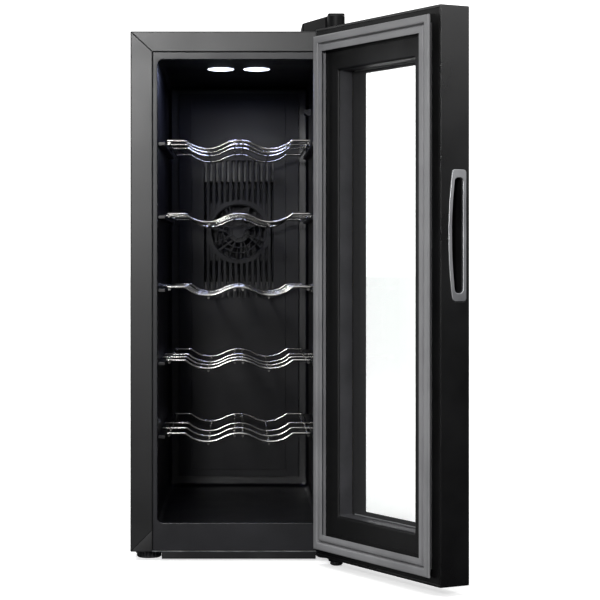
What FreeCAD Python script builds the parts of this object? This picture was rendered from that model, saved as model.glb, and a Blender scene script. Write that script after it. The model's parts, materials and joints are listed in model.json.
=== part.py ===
"""Single-zone thermoelectric wine cooler: a foamed steel cabinet with five wire racks, a fan-blown
cold plate, and a glazed door that stands open on two pins. Millimetres, +Z up, the door faces -Y.
The origin is on the floor, at the centre of the four feet."""
import FreeCAD, Part
import Sketcher
import math
import os
import re

Vector = FreeCAD.Vector

SIZES = {
    # cabinet
    "cab_wide": 260, "cab_deep": 460, "cab_tall": 624, "leg_tall": 11, "skin": 1,
    "edge_round": 1.6, "flange_side": 26, "flange_top": 24,
    # food-grade liner and the room that it makes
    "cav_wide": 194, "cav_low": 45.8, "cav_high": 600.8, "cav_deep": 375, "cav_round": 6,
    "liner_wall": 2, "lap": 8,
    # feet and plinth
    "foot_x": 109, "foot_y": 195, "foot_radius": 15, "foot_tall": 10, "stem_radius": 4,
    "stem_tall": 24, "foot_notch": 16.5, "plinth_inset": 4, "plinth_lift": 2, "plinth_wall": 3,
    # fan, cold plate and heat pump, front to back
    "pump_z": 400, "cover_wide": 166, "cover_low": 61, "cover_high": 592, "cover_stand": 10,
    "cover_wall": 2, "field_wide": 130, "field_rise": 1.5, "field_edge": 9, "guard_radius": 38.5,
    "slot_pitch": 7.7, "slot_wide": 3.6, "slot_low": 309, "slot_high": 499,
    "well_wide": 112, "well_tall": 140, "well_deep": 24,
    "cold_fan": 80, "cold_fan_deep": 11, "cold_sink_wide": 96, "cold_sink_tall": 120,
    "cold_fin": 14, "sink_base": 4, "fin_wall": 1.5, "block_side": 40, "block_deep": 16,
    "module_deep": 4, "hot_sink_side": 112, "hot_base": 5, "hot_fin": 18,
    "hot_fan": 92, "hot_fan_deep": 16, "fan_wall": 2.5, "hub_radius": 14, "shaft_radius": 2,
    "run_gap": 0.06, "blade_thick": 1.6, "arm_wide": 3, "arm_thick": 2,
    "guard_hub": 9, "guard_wire": 1.6, "guard_bar": 1.8, "guard_first": 15, "guard_step": 7.5,
    # racks
    "rack_top": 504.4, "rack_pitch": 88.2, "rack_set": 15, "rack_step": 75, "wire": 3,
    "rack_half": 94.4, "rack_end_half": 86, "cradle_x": 38.5, "cradle_drop": 10,
    "cradle_radius": 38, "bend_radius": 6, "rail_x": 84, "ledge_wide": 8.5, "ledge_tall": 4, "ledge_set": 8,
    "ledge_back": 105, "rest_gap": 0.3,
    # lamps in the ceiling
    "lamp_x": 22.5, "lamp_set": 116, "lens_a": 23, "lens_b": 16.5, "lens_drop": 2, "lens_lap": 2,
    "lamp_box_wide": 110, "lamp_box_deep": 84, "lamp_box_tall": 14, "board": 1.6,
    # hinges
    "pin_x": 115.5, "pin_out": 30.5, "pin_radius": 4, "pin_head": 6, "pin_head_tall": 3,
    "pin_short": 2, "bush_radius": 7, "bush_tall": 22, "bush_collar": 2.5, "collar_tall": 0.5,
    "plate": 2.5, "arm_left": 82, "arm_waist": 104, "arm_right": 125, "arm_back": 50,
    "arm_eye": 7, "arm_nose": 6, "cap_left": 76, "cap_neck": 100, "cap_right": 129,
    "cap_back": 56, "cap_radius": 9.5, "cover_tall": 16, "cover_low_tall": 9, "cover_slope": -7,
    "low_arm_under": 5, "low_arm_low": 6.8, "low_arm_root": 17.5, "low_foot_trim": 2,
    # screws
    "screw_hole": 1.7, "screw_room": 1.8, "screw_shank": 1.6, "screw_head": 3.4, "head_tall": 1.8,
    "arm_screw": 10, "bolt": 7, "rear_screw": 5,
    # door
    "door_wide": 260, "door_low": 10.6, "door_high": 633.8, "door_thick": 37, "door_set": 10.5,
    "door_open": 118.6, "door_wall": 3, "outer_glass": 4, "inner_glass": 3, "glass_inset": 2,
    "arris": 0.4, "touch_wide": 84, "touch_low": 600, "touch_high": 622, "touch_edge": 2,
    "display_wide": 24, "display_low": 605, "display_high": 617,
    "window_side": 50.6, "window_low": 63.5, "window_high": 581.3, "window_deep": 20.6,
    "glaze_lap": 10.6, "glaze_room": 1.4,
    "mask_side": 79.1, "mask_low": 70.5, "mask_high": 576.2, "mask_thick": 0.2,
    "seal_margin": 10, "seal_wide": 20.7, "seal_tall": 10, "seal_band": 9.3, "seal_groove": 1.8,
    "seal_base": 3, "seal_round": 2.5, "magnet_wide": 5, "magnet_thick": 2.5,
    # handle in the free edge of the door
    "grip_z": 387, "grip_long": 142, "grip_outer": 4, "grip_inner": 9.7, "grip_bow": 478,
    "grip_rim": 4.6, "grip_deep": 22, "grip_wall": 1.5, "grip_proud": 0.8, "grip_round": 4,
    # back of the cabinet
    "chamber_deep": 44, "louvre_wide": 50, "louvre_tall": 4.5, "louvre_step": 11,
    "louvre_column": 62, "intake_low": 90, "exhaust_low": 540, "board_stand": 5, "post_radius": 3,
    "post_inset": 5,
    "inlet_x": -75, "inlet_z": 62, "inlet_wide": 27, "inlet_tall": 20, "inlet_deep": 18,
    "inlet_lip": 3, "inlet_wall": 1.5, "inlet_proud": 2, "inlet_pin_side": 7,
    # temperature sensor in its clip
    "probe_y": 56, "probe_z": 560, "probe_long": 32, "probe_radius": 2.5, "probe_clip": 24,
}

FRONT = "(-cab_deep / 2)"
BACK = "(cab_deep / 2)"
SIDE = "(cab_wide / 2)"
CROWN = "(leg_tall + cab_tall)"
CAV_BACK = f"({FRONT} + cav_deep)"
PARTITION = f"({BACK} - chamber_deep)"
COVER_FACE = f"({CAV_BACK} - cover_stand)"
WELL_BACK = f"({CAV_BACK} + well_deep)"
PIN_Y = f"({FRONT} - pin_out)"
DOOR_IN = f"({FRONT} - door_set)"
DOOR_OUT = f"({DOOR_IN} - door_thick)"
DOOR_HALF = "(door_wide / 2)"
GLASS_IN = f"({DOOR_IN} - window_deep)"
GLASS_OUT = f"({DOOR_OUT} + outer_glass)"
ALONG = {"x": (Vector(0, 1, 0), 90), "y": (Vector(1, 0, 0), -90), "z": (Vector(0, 0, 1), 0)}
RACKS = 5
THROUGH = 2

doc = FreeCAD.newDocument("wine_cooler")
sheet = doc.addObject("Spreadsheet::Sheet", "dims")
for row, (alias, value) in enumerate(SIZES.items(), start=1):
    sheet.set(f"A{row}", alias)
    sheet.set(f"B{row}", str(value))
    sheet.setAlias(f"B{row}", alias)
doc.recompute()
nodes = []


# ---- drawing office ---------------------------------------------------------------------------

def bound(text):
    """An expression whose plain names point at the sheet's cells."""
    return re.sub(r"[a-z_]\w*", lambda w: f"dims.{w[0]}" if w[0] in SIZES else w[0], str(text))


def bind(thing, **sizes):
    for name, text in sizes.items():
        thing.setExpression(name, bound(text))
    return thing


def put(thing, x, y, z, along="z"):
    thing.Placement = FreeCAD.Placement(Vector(), FreeCAD.Rotation(*ALONG[along]))
    for axis, text in zip("xyz", (x, y, z)):
        thing.setExpression(f"Placement.Base.{axis}", bound(text))
    return thing


def block(name, x, y, z, wide, deep, tall):
    """A box from its lowest corner."""
    thing = bind(doc.addObject("Part::Box", name), Length=wide, Width=deep, Height=tall)
    return put(thing, x, y, z)


def span(name, x, y, z):
    """A box between two values on each axis."""
    sizes = [f"({high}) - ({low})" for low, high in (x, y, z)]
    return block(name, x[0], y[0], z[0], *sizes)


def middle(name, wide, y, z):
    """A box centred on the cabinet's middle plane."""
    return span(name, (f"-({wide}) / 2", f"({wide}) / 2"), y, z)


def rod(name, x, y, z, radius, length, along="z"):
    thing = bind(doc.addObject("Part::Cylinder", name), Radius=radius, Height=length)
    return put(thing, x, y, z, along)


def join(name, *things):
    thing = doc.addObject("Part::MultiFuse", name)
    thing.Shapes = list(things)
    thing.Refine = True
    return thing


def cut(name, base, *tools):
    thing = doc.addObject("Part::Cut", name)
    thing.Base = base
    thing.Tool = tools[0] if len(tools) == 1 else join(name + "_tools", *tools)
    thing.Refine = True
    return thing


def overlap(name, *things):
    thing = doc.addObject("Part::MultiCommon", name)
    thing.Shapes = list(things)
    return thing


def rounded(name, base, radius, pick):
    """Fillet the edges that pick() chooses, at a radius from the sheet."""
    doc.recompute()
    size = SIZES[radius]
    thing = doc.addObject("Part::Fillet", name)
    thing.Base = base
    chosen = [i for i, edge in enumerate(base.Shape.Edges, start=1) if pick(edge)]
    thing.Edges = [(i, size, size) for i in chosen]
    return thing


def runs_along(axis):
    def pick(edge):
        box = edge.BoundBox
        lengths = {"x": box.XLength, "y": box.YLength, "z": box.ZLength}
        others = [lengths[key] for key in lengths if key != axis]
        return lengths[axis] > 1 and max(others) < 0.01
    return pick


def in_plane_y(edge_y):
    def pick(edge):
        box = edge.BoundBox
        return abs(box.YMin - edge_y) < 0.01 and abs(box.YMax - edge_y) < 0.01
    return pick


def oval(name, x, y, z, long_radius, short_radius, height):
    """An upright plug with an oval outline, longer front to back."""
    ring = bind(doc.addObject("Part::Ellipse", name + "_line"), MajorRadius=long_radius,
                MinorRadius=short_radius)
    plug = doc.addObject("Part::Extrusion", name)
    plug.Base = ring
    plug.DirMode = "Custom"
    plug.Dir = Vector(0, 0, 1)
    plug.Solid = True
    bind(plug, LengthFwd=height)
    put(plug, x, y, z)
    plug.Placement.Rotation = FreeCAD.Rotation(Vector(0, 0, 1), 90)
    return plug


def profile(body, name, role, points):
    """A closed outline on one of the body's origin planes, each corner held by the sheet."""
    plane = next(f for f in body.Origin.OriginFeatures if f.Role == role)
    sketch = body.newObject("Sketcher::SketchObject", name)
    sketch.AttachmentSupport = [(plane, "")]
    sketch.MapMode = "FlatFace"
    count = len(points)
    turn = [2 * math.pi * i / count for i in range(count + 1)]
    rough = [Vector(math.cos(a), math.sin(a), 0) for a in turn]
    for start, end in zip(rough, rough[1:]):
        sketch.addGeometry(Part.LineSegment(start, end))
    for i in range(count):
        sketch.addConstraint(Sketcher.Constraint("Coincident", i, 2, (i + 1) % count, 1))
    for i, corner in enumerate(points):
        for kind, text in zip(("DistanceX", "DistanceY"), corner):
            index = sketch.addConstraint(Sketcher.Constraint(kind, -1, 1, i, 1, 1.0))
            sketch.setExpression(f"Constraints[{index}]", bound(text))
    return sketch


def new_body(name):
    return doc.addObject("PartDesign::Body", name)


def axis_of(body, role):
    return next(f for f in body.Origin.OriginFeatures if f.Role == role)


def pad(body, name, sketch, length, back=False):
    feature = body.newObject("PartDesign::Pad", name)
    feature.Profile = sketch
    feature.Reversed = back
    bind(feature, Length=length)
    return feature


def node(thing, label):
    """Name a finished piece and keep it for writing out."""
    thing.Label = label
    nodes.append(thing)
    return thing


def swing(thing, label):
    """Name a piece of the door, drawn shut, and turn it open about the hinge pins."""
    thing.Placement = FreeCAD.Placement(Vector(), FreeCAD.Rotation(Vector(0, 0, 1), 1))
    thing.setExpression("Placement.Rotation.Angle", bound("door_open * 1 deg"))
    turn_x = f"pin_x * (1 - cos(door_open)) + {PIN_Y} * sin(door_open)"
    turn_y = f"{PIN_Y} * (1 - cos(door_open)) - pin_x * sin(door_open)"
    thing.setExpression("Placement.Base.x", bound(turn_x))
    thing.setExpression("Placement.Base.y", bound(turn_y))
    return node(thing, label)


# ---- cabinet ----------------------------------------------------------------------------------

def lamp_spots():
    return (("left", "-lamp_x"), ("right", "lamp_x"))


LAMP_Y = f"({FRONT} + lamp_set)"
FOOT_SPOTS = [("front_left", "-foot_x", "-foot_y"), ("front_right", "foot_x", "-foot_y"),
              ("back_left", "-foot_x", "foot_y"), ("back_right", "foot_x", "foot_y")]
HINGE_SCREWS = [("arm_left + 8", f"{FRONT} + 22"), ("arm_right - 7", f"{FRONT} + 22"),
                ("arm_waist", f"{FRONT} + 42")]
BOLT_SEAT = "(leg_tall - 2.8)"
BRACKET_SCREWS = [("foot_x - 10", f"{FRONT} + 10"), ("foot_x + 12", f"{FRONT} + 10")]


def tub(name, grow):
    """The liner's room, or its outside when grown by the wall, with rounded long edges."""
    box = span(name + "_box", (f"-cav_wide / 2 - {grow}", f"cav_wide / 2 + {grow}"),
               (f"{FRONT} + skin - (liner_wall - {grow})", f"{CAV_BACK} + {grow}"),
               (f"cav_low - {grow}", f"cav_high + {grow}"))
    return rounded(name, box, "cav_round", runs_along("y"))


def well(name, grow):
    return middle(name, f"well_wide + 2 * {grow}", (f"{CAV_BACK} - 1", f"{WELL_BACK} + {grow}"),
                  (f"pump_z - well_tall / 2 - {grow}", f"pump_z + well_tall / 2 + {grow}"))


def lamp_box(name, shrink):
    return middle(name, f"lamp_box_wide - 2 * {shrink}",
                  (f"{LAMP_Y} - lamp_box_deep / 2 + {shrink}",
                   f"{LAMP_Y} + lamp_box_deep / 2 - {shrink}"),
                  ("cav_high + liner_wall", f"cav_high + liner_wall + lamp_box_tall - {shrink}"))


def outer_shell():
    """Painted sheet folded over both sides and the top, with a mitred flange round the mouth."""
    outside = rounded("shell_outside",
                      block("shell_blank", f"-{SIDE}", FRONT, "leg_tall",
                            "cab_wide", "cab_deep", "cab_tall"),
                      "edge_round", lambda edge: edge.BoundBox.ZMax > SIZES["leg_tall"] + 1)
    inside = span("shell_inside", (f"-{SIDE} + skin", f"{SIDE} - skin"),
                  (f"{FRONT} + skin", f"{BACK} + {THROUGH}"),
                  (f"leg_tall - {THROUGH}", f"{CROWN} - skin"))
    mouth = span("shell_mouth", (f"-{SIDE} + flange_side", f"{SIDE} - flange_side"),
                 (f"{FRONT} - {THROUGH}", f"{FRONT} + {THROUGH}"),
                 (f"leg_tall - {THROUGH}", f"{CROWN} - flange_top"))
    holes = [rod(f"shell_hole_{i}", x, y, f"{CROWN} - 6", "screw_hole", "12")
             for i, (x, y) in enumerate(HINGE_SCREWS)]
    node(cut("outer_shell", outside, inside, mouth, *holes), "outer_shell")


def base_plate():
    """Flat steel bottom that closes the cabinet and carries the feet."""
    plate = middle("base_blank", "cab_wide - 2 * skin", (f"{FRONT} + skin", f"{BACK} - skin"),
                   ("leg_tall", "leg_tall + skin"))
    holes = [rod(f"base_hole_{where}", x, y, f"leg_tall - {THROUGH}", "stem_radius + run_gap", "6")
             for where, x, y in FOOT_SPOTS]
    holes += [rod(f"base_screw_{i}", x, y, f"leg_tall - {THROUGH}", "screw_hole", "6")
              for i, (x, y) in enumerate(BRACKET_SCREWS)]
    node(cut("base_plate", plate, *holes), "base_plate")


def sorted_span(near, far, side):
    """Two values on one side of the middle, lowest first."""
    return (near, far) if side > 0 else (f"-({far})", f"-({near})")


def plinth():
    """Shallow black tray under the cabinet, cut away at its corners for the feet."""
    low, high = "plinth_lift", "leg_tall"
    outside = middle("plinth_outside", "cab_wide - 2 * plinth_inset",
                     (f"{FRONT} + plinth_inset", f"{BACK} - plinth_inset"), (low, high))
    hollow = middle("plinth_hollow", "2 * (foot_x - foot_notch - plinth_wall)",
                    (f"{FRONT} + plinth_inset + plinth_wall", f"{BACK} - plinth_inset - plinth_wall"),
                    (f"{low} - {THROUGH}", f"{high} - plinth_wall"))
    notches = []
    for where, x_side, y_side in (("a", -1, -1), ("b", 1, -1), ("c", -1, 1), ("d", 1, 1)):
        notches.append(span(f"plinth_notch_{where}",
                            sorted_span("foot_x - foot_notch", SIDE, x_side),
                            sorted_span("foot_y - foot_notch", BACK, y_side),
                            (f"{low} - {THROUGH}", f"{high} + {THROUGH}")))
    node(cut("plinth", outside, hollow, *notches), "plinth")


def feet():
    """Round ribbed levelling feet: a turned pad on a stem that passes the base plate."""
    for where, x, y in FOOT_SPOTS:
        body = new_body(f"foot_{where}")
        outline = profile(body, f"foot_outline_{where}", "XZ_Plane",
                          [("0", "0"), ("foot_radius", "0"), ("foot_radius", "foot_tall - 1"),
                           ("foot_radius - 1", "foot_tall"), ("stem_radius", "foot_tall"),
                           ("stem_radius", "stem_tall"), ("0", "stem_tall")])
        turned = body.newObject("PartDesign::Revolution", f"foot_turned_{where}")
        turned.Profile = outline
        turned.ReferenceAxis = (axis_of(body, "Z_Axis"), [""])
        turned.Angle = 360
        body.Tip = turned
        put(body, x, y, "0")
        node(body, f"foot_{where}")


def inner_liner():
    """Vacuum-formed plastic tub with a front lip and a well at the back for the cold plate."""
    lip = middle("liner_lip", "cab_wide - 2 * (flange_side - lap)",
                 (f"{FRONT} + skin", f"{FRONT} + skin + liner_wall"),
                 ("leg_tall + skin", f"{CROWN} - flange_top + lap"))
    solid = join("liner_solid", lip, tub("liner_outside", "liner_wall"),
                 well("well_outside", "liner_wall"))
    port = middle("liner_port", "block_side + 2", (f"{WELL_BACK} - 1", f"{WELL_BACK} + 4"),
                  ("pump_z - block_side / 2 - 1", "pump_z + block_side / 2 + 1"))
    lamps = [oval(f"lamp_hole_{side}", x, LAMP_Y, "cav_high - 1", "lens_a - lens_lap",
                  "lens_b - lens_lap", "liner_wall + 2") for side, x in lamp_spots()]
    node(cut("inner_liner", solid, tub("liner_room", "0"), well("well_room", "0"), port, *lamps),
         "inner_liner")


def rack_runners():
    """Ten plain plastic strips, clipped to the liner's side walls, that the racks slide on."""
    strips = []
    for number in range(RACKS):
        top = f"rack_top - {number} * rack_pitch - wire / 2 - rest_gap"
        for side, hand in ((-1, "left"), (1, "right")):
            strips.append(span(f"runner_{hand}_{number + 1}",
                               sorted_span("cav_wide / 2 - ledge_wide", "cav_wide / 2", side),
                               (f"{FRONT} + ledge_set", "ledge_back"),
                               (f"{top} - ledge_tall", top)))
    group = doc.addObject("Part::Compound", "rack_runners")
    group.Links = strips
    node(group, "rack_runners")


def insulation():
    """Foam poured between the shell and the liner."""
    slab = middle("foam_slab", "cab_wide - 2 * skin",
                  (f"{FRONT} + skin + liner_wall", PARTITION),
                  ("leg_tall + skin", f"{CROWN} - skin"))
    gaps = [tub("foam_room", "liner_wall"), well("foam_well", "liner_wall"),
            lamp_box("foam_lamp", "0"),
            middle("foam_port", "block_side", (f"{WELL_BACK} - 1", f"{PARTITION} + {THROUGH}"),
                   ("pump_z - block_side / 2", "pump_z + block_side / 2"))]
    gaps += [rod(f"foam_stem_{where}", x, y, "leg_tall", "stem_radius + 1", "stem_tall")
             for where, x, y in FOOT_SPOTS]
    gaps += [rod(f"foam_screw_{i}", x, y, f"{CROWN} - arm_screw - 4", "screw_room", "arm_screw + 6")
             for i, (x, y) in enumerate(HINGE_SCREWS)]
    gaps += [rod(f"foam_bolt_{i}", x, y, "leg_tall", "screw_room", "bolt + 1")
             for i, (x, y) in enumerate(BRACKET_SCREWS)]
    node(cut("insulation_foam", slab, *gaps), "insulation_foam")


def partition():
    """Steel sheet behind the foam, with a window for the heat pump."""
    plate = middle("partition_blank", "cab_wide - 2 * skin", (PARTITION, f"{PARTITION} + skin"),
                   ("leg_tall + skin", f"{CROWN} - skin"))
    window = middle("partition_window", "block_side + 4",
                    (f"{PARTITION} - {THROUGH}", f"{PARTITION} + {THROUGH}"),
                    ("pump_z - block_side / 2 - 2", "pump_z + block_side / 2 + 2"))
    node(cut("back_partition", plate, window), "back_partition")


# ---- cold side --------------------------------------------------------------------------------

COVER_SLOTS = 13
GUARD_BARS = 4
BLADE_TILT = 38
BLADE_TURN = -10


def fan_cover():
    """Tray that hides the cold plate: slots above and below a round fan guard."""
    face = (COVER_FACE, f"{COVER_FACE} + cover_wall")
    tray = middle("cover_tray", "cover_wide", (COVER_FACE, CAV_BACK), ("cover_low", "cover_high"))
    hollow = middle("cover_hollow", "cover_wide - 2 * cover_wall", (face[1], f"{CAV_BACK} + 1"),
                    ("cover_low + cover_wall", "cover_high - cover_wall"))
    field = middle("cover_field", "field_wide", (f"{COVER_FACE} - field_rise", face[1]),
                   ("cover_low + field_edge", "cover_high - field_edge"))
    plate = join("cover_plate", cut("cover_shell", tray, hollow), field)
    front = f"{COVER_FACE} - field_rise - 1"
    depth = "cover_wall + field_rise + 2"
    slots = [block(f"cover_slot_{i}", f"{i - COVER_SLOTS // 2} * slot_pitch - slot_wide / 2",
                   front, "slot_low", "slot_wide", depth, "slot_high - slot_low")
             for i in range(COVER_SLOTS)]
    ringed = rod("cover_ringed", "0", front, "pump_z", "guard_radius + 6", depth, "y")
    mouth = rod("cover_mouth", "0", front, "pump_z", "guard_radius", depth, "y")
    open_plate = cut("cover_open", plate, cut("cover_slots", join("cover_bars", *slots), ringed),
                     mouth)
    guard = [rod("guard_hub", "0", COVER_FACE, "pump_z", "guard_hub", "cover_wall", "y")]
    rings = [f"guard_first + {i} * guard_step" for i in range(3)] + ["guard_radius + 0.5"]
    for i, radius in enumerate(rings):
        outer = rod(f"guard_ring_{i}", "0", COVER_FACE, "pump_z", radius, "cover_wall", "y")
        inner = rod(f"guard_bore_{i}", "0", front, "pump_z", f"{radius} - guard_wire", depth, "y")
        guard.append(cut(f"guard_hoop_{i}", outer, inner))
    for i in range(GUARD_BARS):
        turn = 180 / GUARD_BARS * (i + 0.5)
        bar = block(f"guard_bar_{i}", f"-guard_radius * cos({turn})", COVER_FACE,
                    f"pump_z + guard_radius * sin({turn})", "2 * guard_radius", "cover_wall",
                    "guard_bar")
        bar.Placement.Rotation = FreeCAD.Rotation(Vector(0, 1, 0), turn)
        guard.append(bar)
    node(join("fan_cover", open_plate, *guard), "fan_cover")


def fan(label, side, y, deep, blades):
    """A square fan: a frame with a spoked motor seat, and a bladed rotor on its shaft."""
    bore = f"{side} / 2 - fan_wall"
    frame = middle(f"{label}_block", side, (y, f"{y} + {deep}"),
                   (f"pump_z - {side} / 2", f"pump_z + {side} / 2"))
    hole = rod(f"{label}_bore", "0", f"{y} - 1", "pump_z", bore, f"{deep} + 2", "y")
    ring = cut(f"{label}_ring", frame, hole)
    back = f"{y} + {deep} - arm_thick"
    seat = rod(f"{label}_seat", "0", back, "pump_z", "hub_radius + 1", "arm_thick", "y")
    arms = []
    for i in range(4):
        arm = block(f"{label}_arm_{i}", "0", back, "pump_z", f"{bore} + 1", "arm_thick", "arm_wide")
        arm.Placement.Rotation = FreeCAD.Rotation(Vector(0, 1, 0), 90 * i + 20)
        arms.append(arm)
    drilled = rod(f"{label}_bearing", "0", f"{y} + {deep} - 4", "pump_z",
                  "shaft_radius + run_gap", "6", "y")
    node(cut(f"{label}_frame", join(f"{label}_spider", ring, seat, *arms), drilled),
         f"{label}_frame")

    hub = rod(f"{label}_hub", "0", f"{y} + 1", "pump_z", "hub_radius", f"{deep} - 4", "y")
    shaft = rod(f"{label}_shaft", "0", f"{y} + 1", "pump_z", "shaft_radius", f"{deep} - 1.2", "y")
    keep = cut(f"{label}_sweep",
               rod(f"{label}_disc", "0", f"{y} + 1.5", "pump_z", f"{bore} - 0.8", f"{deep} - 5",
                   "y"),
               rod(f"{label}_core", "0", f"{y}", "pump_z", "hub_radius - 2", f"{deep}", "y"))
    leaves = []
    for i in range(blades):
        leaf = block(f"{label}_leaf_{i}", "0", f"{y} + {deep} / 2 - 1.5", "pump_z", side,
                     "blade_thick", f"{side} / 3")
        spin = FreeCAD.Rotation(Vector(0, 1, 0), 360 / blades * i + BLADE_TURN)
        leaf.Placement.Rotation = spin.multiply(FreeCAD.Rotation(Vector(1, 0, 0), BLADE_TILT))
        leaves.append(overlap(f"{label}_blade_{i}", leaf, keep))
    node(join(f"{label}_rotor", hub, shaft, *leaves), f"{label}_rotor")


def heat_sink(label, wide, tall, base_from, base_to, fin_from, fin_length, fins):
    """An extruded aluminium heat sink: a base with a row of upright fins."""
    body = new_body(label)
    low, high = "pump_z - " + tall + " / 2", "pump_z + " + tall + " / 2"
    base = profile(body, f"{label}_base", "XY_Plane",
                   [(f"-{wide} / 2", base_from), (f"{wide} / 2", base_from),
                    (f"{wide} / 2", base_to), (f"-{wide} / 2", base_to)])
    pad(body, f"{label}_plate", base, f"({high}) - ({low})")
    far = f"{fin_from} + {fin_length}"
    fin = profile(body, f"{label}_fin", "XY_Plane",
                  [(f"-{wide} / 2", fin_from), (f"-{wide} / 2 + fin_wall", fin_from),
                   (f"-{wide} / 2 + fin_wall", far), (f"-{wide} / 2", far)])
    first = pad(body, f"{label}_first_fin", fin, f"({high}) - ({low})")
    row = body.newObject("PartDesign::LinearPattern", f"{label}_fins")
    row.Originals = [first]
    row.Direction = (axis_of(body, "X_Axis"), [""])
    row.Occurrences = fins
    bind(row, Length=f"{wide} - fin_wall")
    body.Tip = row
    put(body, "0", "0", low)
    node(body, label)


def heat_pump():
    """Cold plate, conductor block, thermoelectric module and hot plate, in line behind the fan."""
    cold_base = f"({WELL_BACK} - 1)"
    heat_sink("cold_heat_sink", "cold_sink_wide", "cold_sink_tall",
              f"{cold_base} - sink_base", cold_base,
              f"{cold_base} - sink_base - cold_fin", "cold_fin + 0.5", 13)
    height = ("pump_z - block_side / 2", "pump_z + block_side / 2")
    node(middle("cold_block", "block_side", (cold_base, f"{cold_base} + block_deep"), height),
         "cold_block")
    module = f"({cold_base} + block_deep)"
    node(middle("thermoelectric_module", "block_side - 0.4", (module, f"{module} + module_deep"),
                height), "thermoelectric_module")
    hot = f"({module} + module_deep)"
    heat_sink("hot_heat_sink", "hot_sink_side", "hot_sink_side", hot, f"{hot} + hot_base",
              f"{hot} + hot_base - 0.5", "hot_fin + 0.5", 15)


# ---- lamps ------------------------------------------------------------------------------------

def lamps():
    """Two oval lenses in the ceiling under one boxed board with its light-emitting chips."""
    case = cut("lamp_case", lamp_box("lamp_outside", "0"), lamp_box("lamp_inside", "liner_wall"))
    node(case, "lamp_housing")
    low = "cav_high + liner_wall + 4"
    card = middle("lamp_card", "lamp_box_wide - 2 * liner_wall - 1",
                  (f"{LAMP_Y} - lamp_box_deep / 3", f"{LAMP_Y} + lamp_box_deep / 3"),
                  (low, f"{low} + board"))
    chips = [span(f"lamp_chip_{side}", (f"{x} - 3", f"{x} + 3"),
                  (f"{LAMP_Y} - 3", f"{LAMP_Y} + 3"), (f"{low} - 1.5", low))
             for side, x in lamp_spots()]
    node(join("lamp_board", card, *chips), "lamp_board")
    for side, x in lamp_spots():
        rim = oval(f"lens_rim_{side}", x, LAMP_Y, "cav_high - lens_drop", "lens_a", "lens_b",
                   "lens_drop")
        plug = oval(f"lens_plug_{side}", x, LAMP_Y, "cav_high - 0.5", "lens_a - lens_lap - 0.2",
                    "lens_b - lens_lap - 0.2", "liner_wall + 1")
        node(join(f"lamp_lens_{side}", rim, plug), f"lamp_lens_{side}")


# ---- racks ------------------------------------------------------------------------------------

def bent_wire(half):
    """The centre line of a cross wire: two bottle cradles with a hump between them."""
    centre, drop, cradle = SIZES["cradle_x"], SIZES["cradle_drop"], SIZES["cradle_radius"]
    bend = SIZES["bend_radius"]
    hump = (centre ** 2 + drop ** 2) / (2 * drop) - cradle
    shoulder = centre + math.sqrt(2 * drop * (cradle + bend) - drop ** 2)
    heart = Vector(centre, 0, cradle - drop)

    def meet(other, radius):
        return heart + (other - heart) * (cradle / (cradle + radius))

    inner = meet(Vector(0, 0, -hump), hump)
    outer = meet(Vector(shoulder, 0, -bend), bend)
    knee = Vector(shoulder, 0, -bend) + Vector(-math.sin(0.3), 0, math.cos(0.3)) * bend
    half_line = [
        Part.Arc(inner, Vector(centre, 0, -drop), outer),
        Part.Arc(outer, knee, Vector(shoulder, 0, 0)),
        Part.LineSegment(Vector(shoulder, 0, 0), Vector(half, 0, 0)),
    ]
    left = Vector(-inner.x, 0, inner.z)
    edges = [Part.Arc(left, Vector(0, 0, 0), inner).toShape()]
    edges += [piece.toShape() for piece in half_line]
    flip = FreeCAD.Matrix()
    flip.scale(-1, 1, 1)
    mirrored = [edge.mirror(Vector(), Vector(1, 0, 0)) for edge in edges[1:]]
    return Part.Wire(Part.__sortEdges__(mirrored + edges))


def cross_wire(half, y):
    path = bent_wire(half)
    start = Vector(-half, 0, 0)
    ring = Part.Wire(Part.makeCircle(SIZES["wire"] / 2, start, Vector(1, 0, 0)))
    tube = path.makePipeShell([ring], True, False)
    tube.translate(Vector(0, y, 0))
    return tube


def rack_shape():
    """Four cradle wires across, welded on six straight wires that run front to back."""
    wire, step = SIZES["wire"], SIZES["rack_step"]
    ends, across = SIZES["rack_end_half"], SIZES["rack_half"]
    rows = [cross_wire(half, row * step)
            for row, half in ((0, ends), (1, across), (2, across), (4, ends))]
    under = wire - 0.4
    runners = []
    for x, z in ((5, -under - 0.3), (SIZES["cradle_x"] - 2, -SIZES["cradle_drop"] - under),
                 (SIZES["rail_x"], -under)):
        for side in (-1, 1):
            foot = Vector(side * x, -wire / 2, z)
            runners.append(Part.makeCylinder(wire / 2, 4 * step + wire, foot, Vector(0, 1, 0)))
    return rows[0].multiFuse(rows[1:] + runners)


def racks():
    shape = rack_shape()
    for number in range(1, RACKS + 1):
        rack = doc.addObject("Part::Feature", f"rack_{number}")
        rack.Shape = shape
        put(rack, "0", f"{FRONT} + rack_set", f"rack_top - {number - 1} * rack_pitch")
        node(rack, f"rack_{number}")


# ---- back of the cabinet ----------------------------------------------------------------------

REAR_SLOTS = 11
LOUVRE_ROWS = 4
REAR_SCREWS = [(x, z) for x in (f"-({SIDE} - 12)", f"{SIDE} - 12")
               for z in ("30", "218", "418", "618")]


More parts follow.
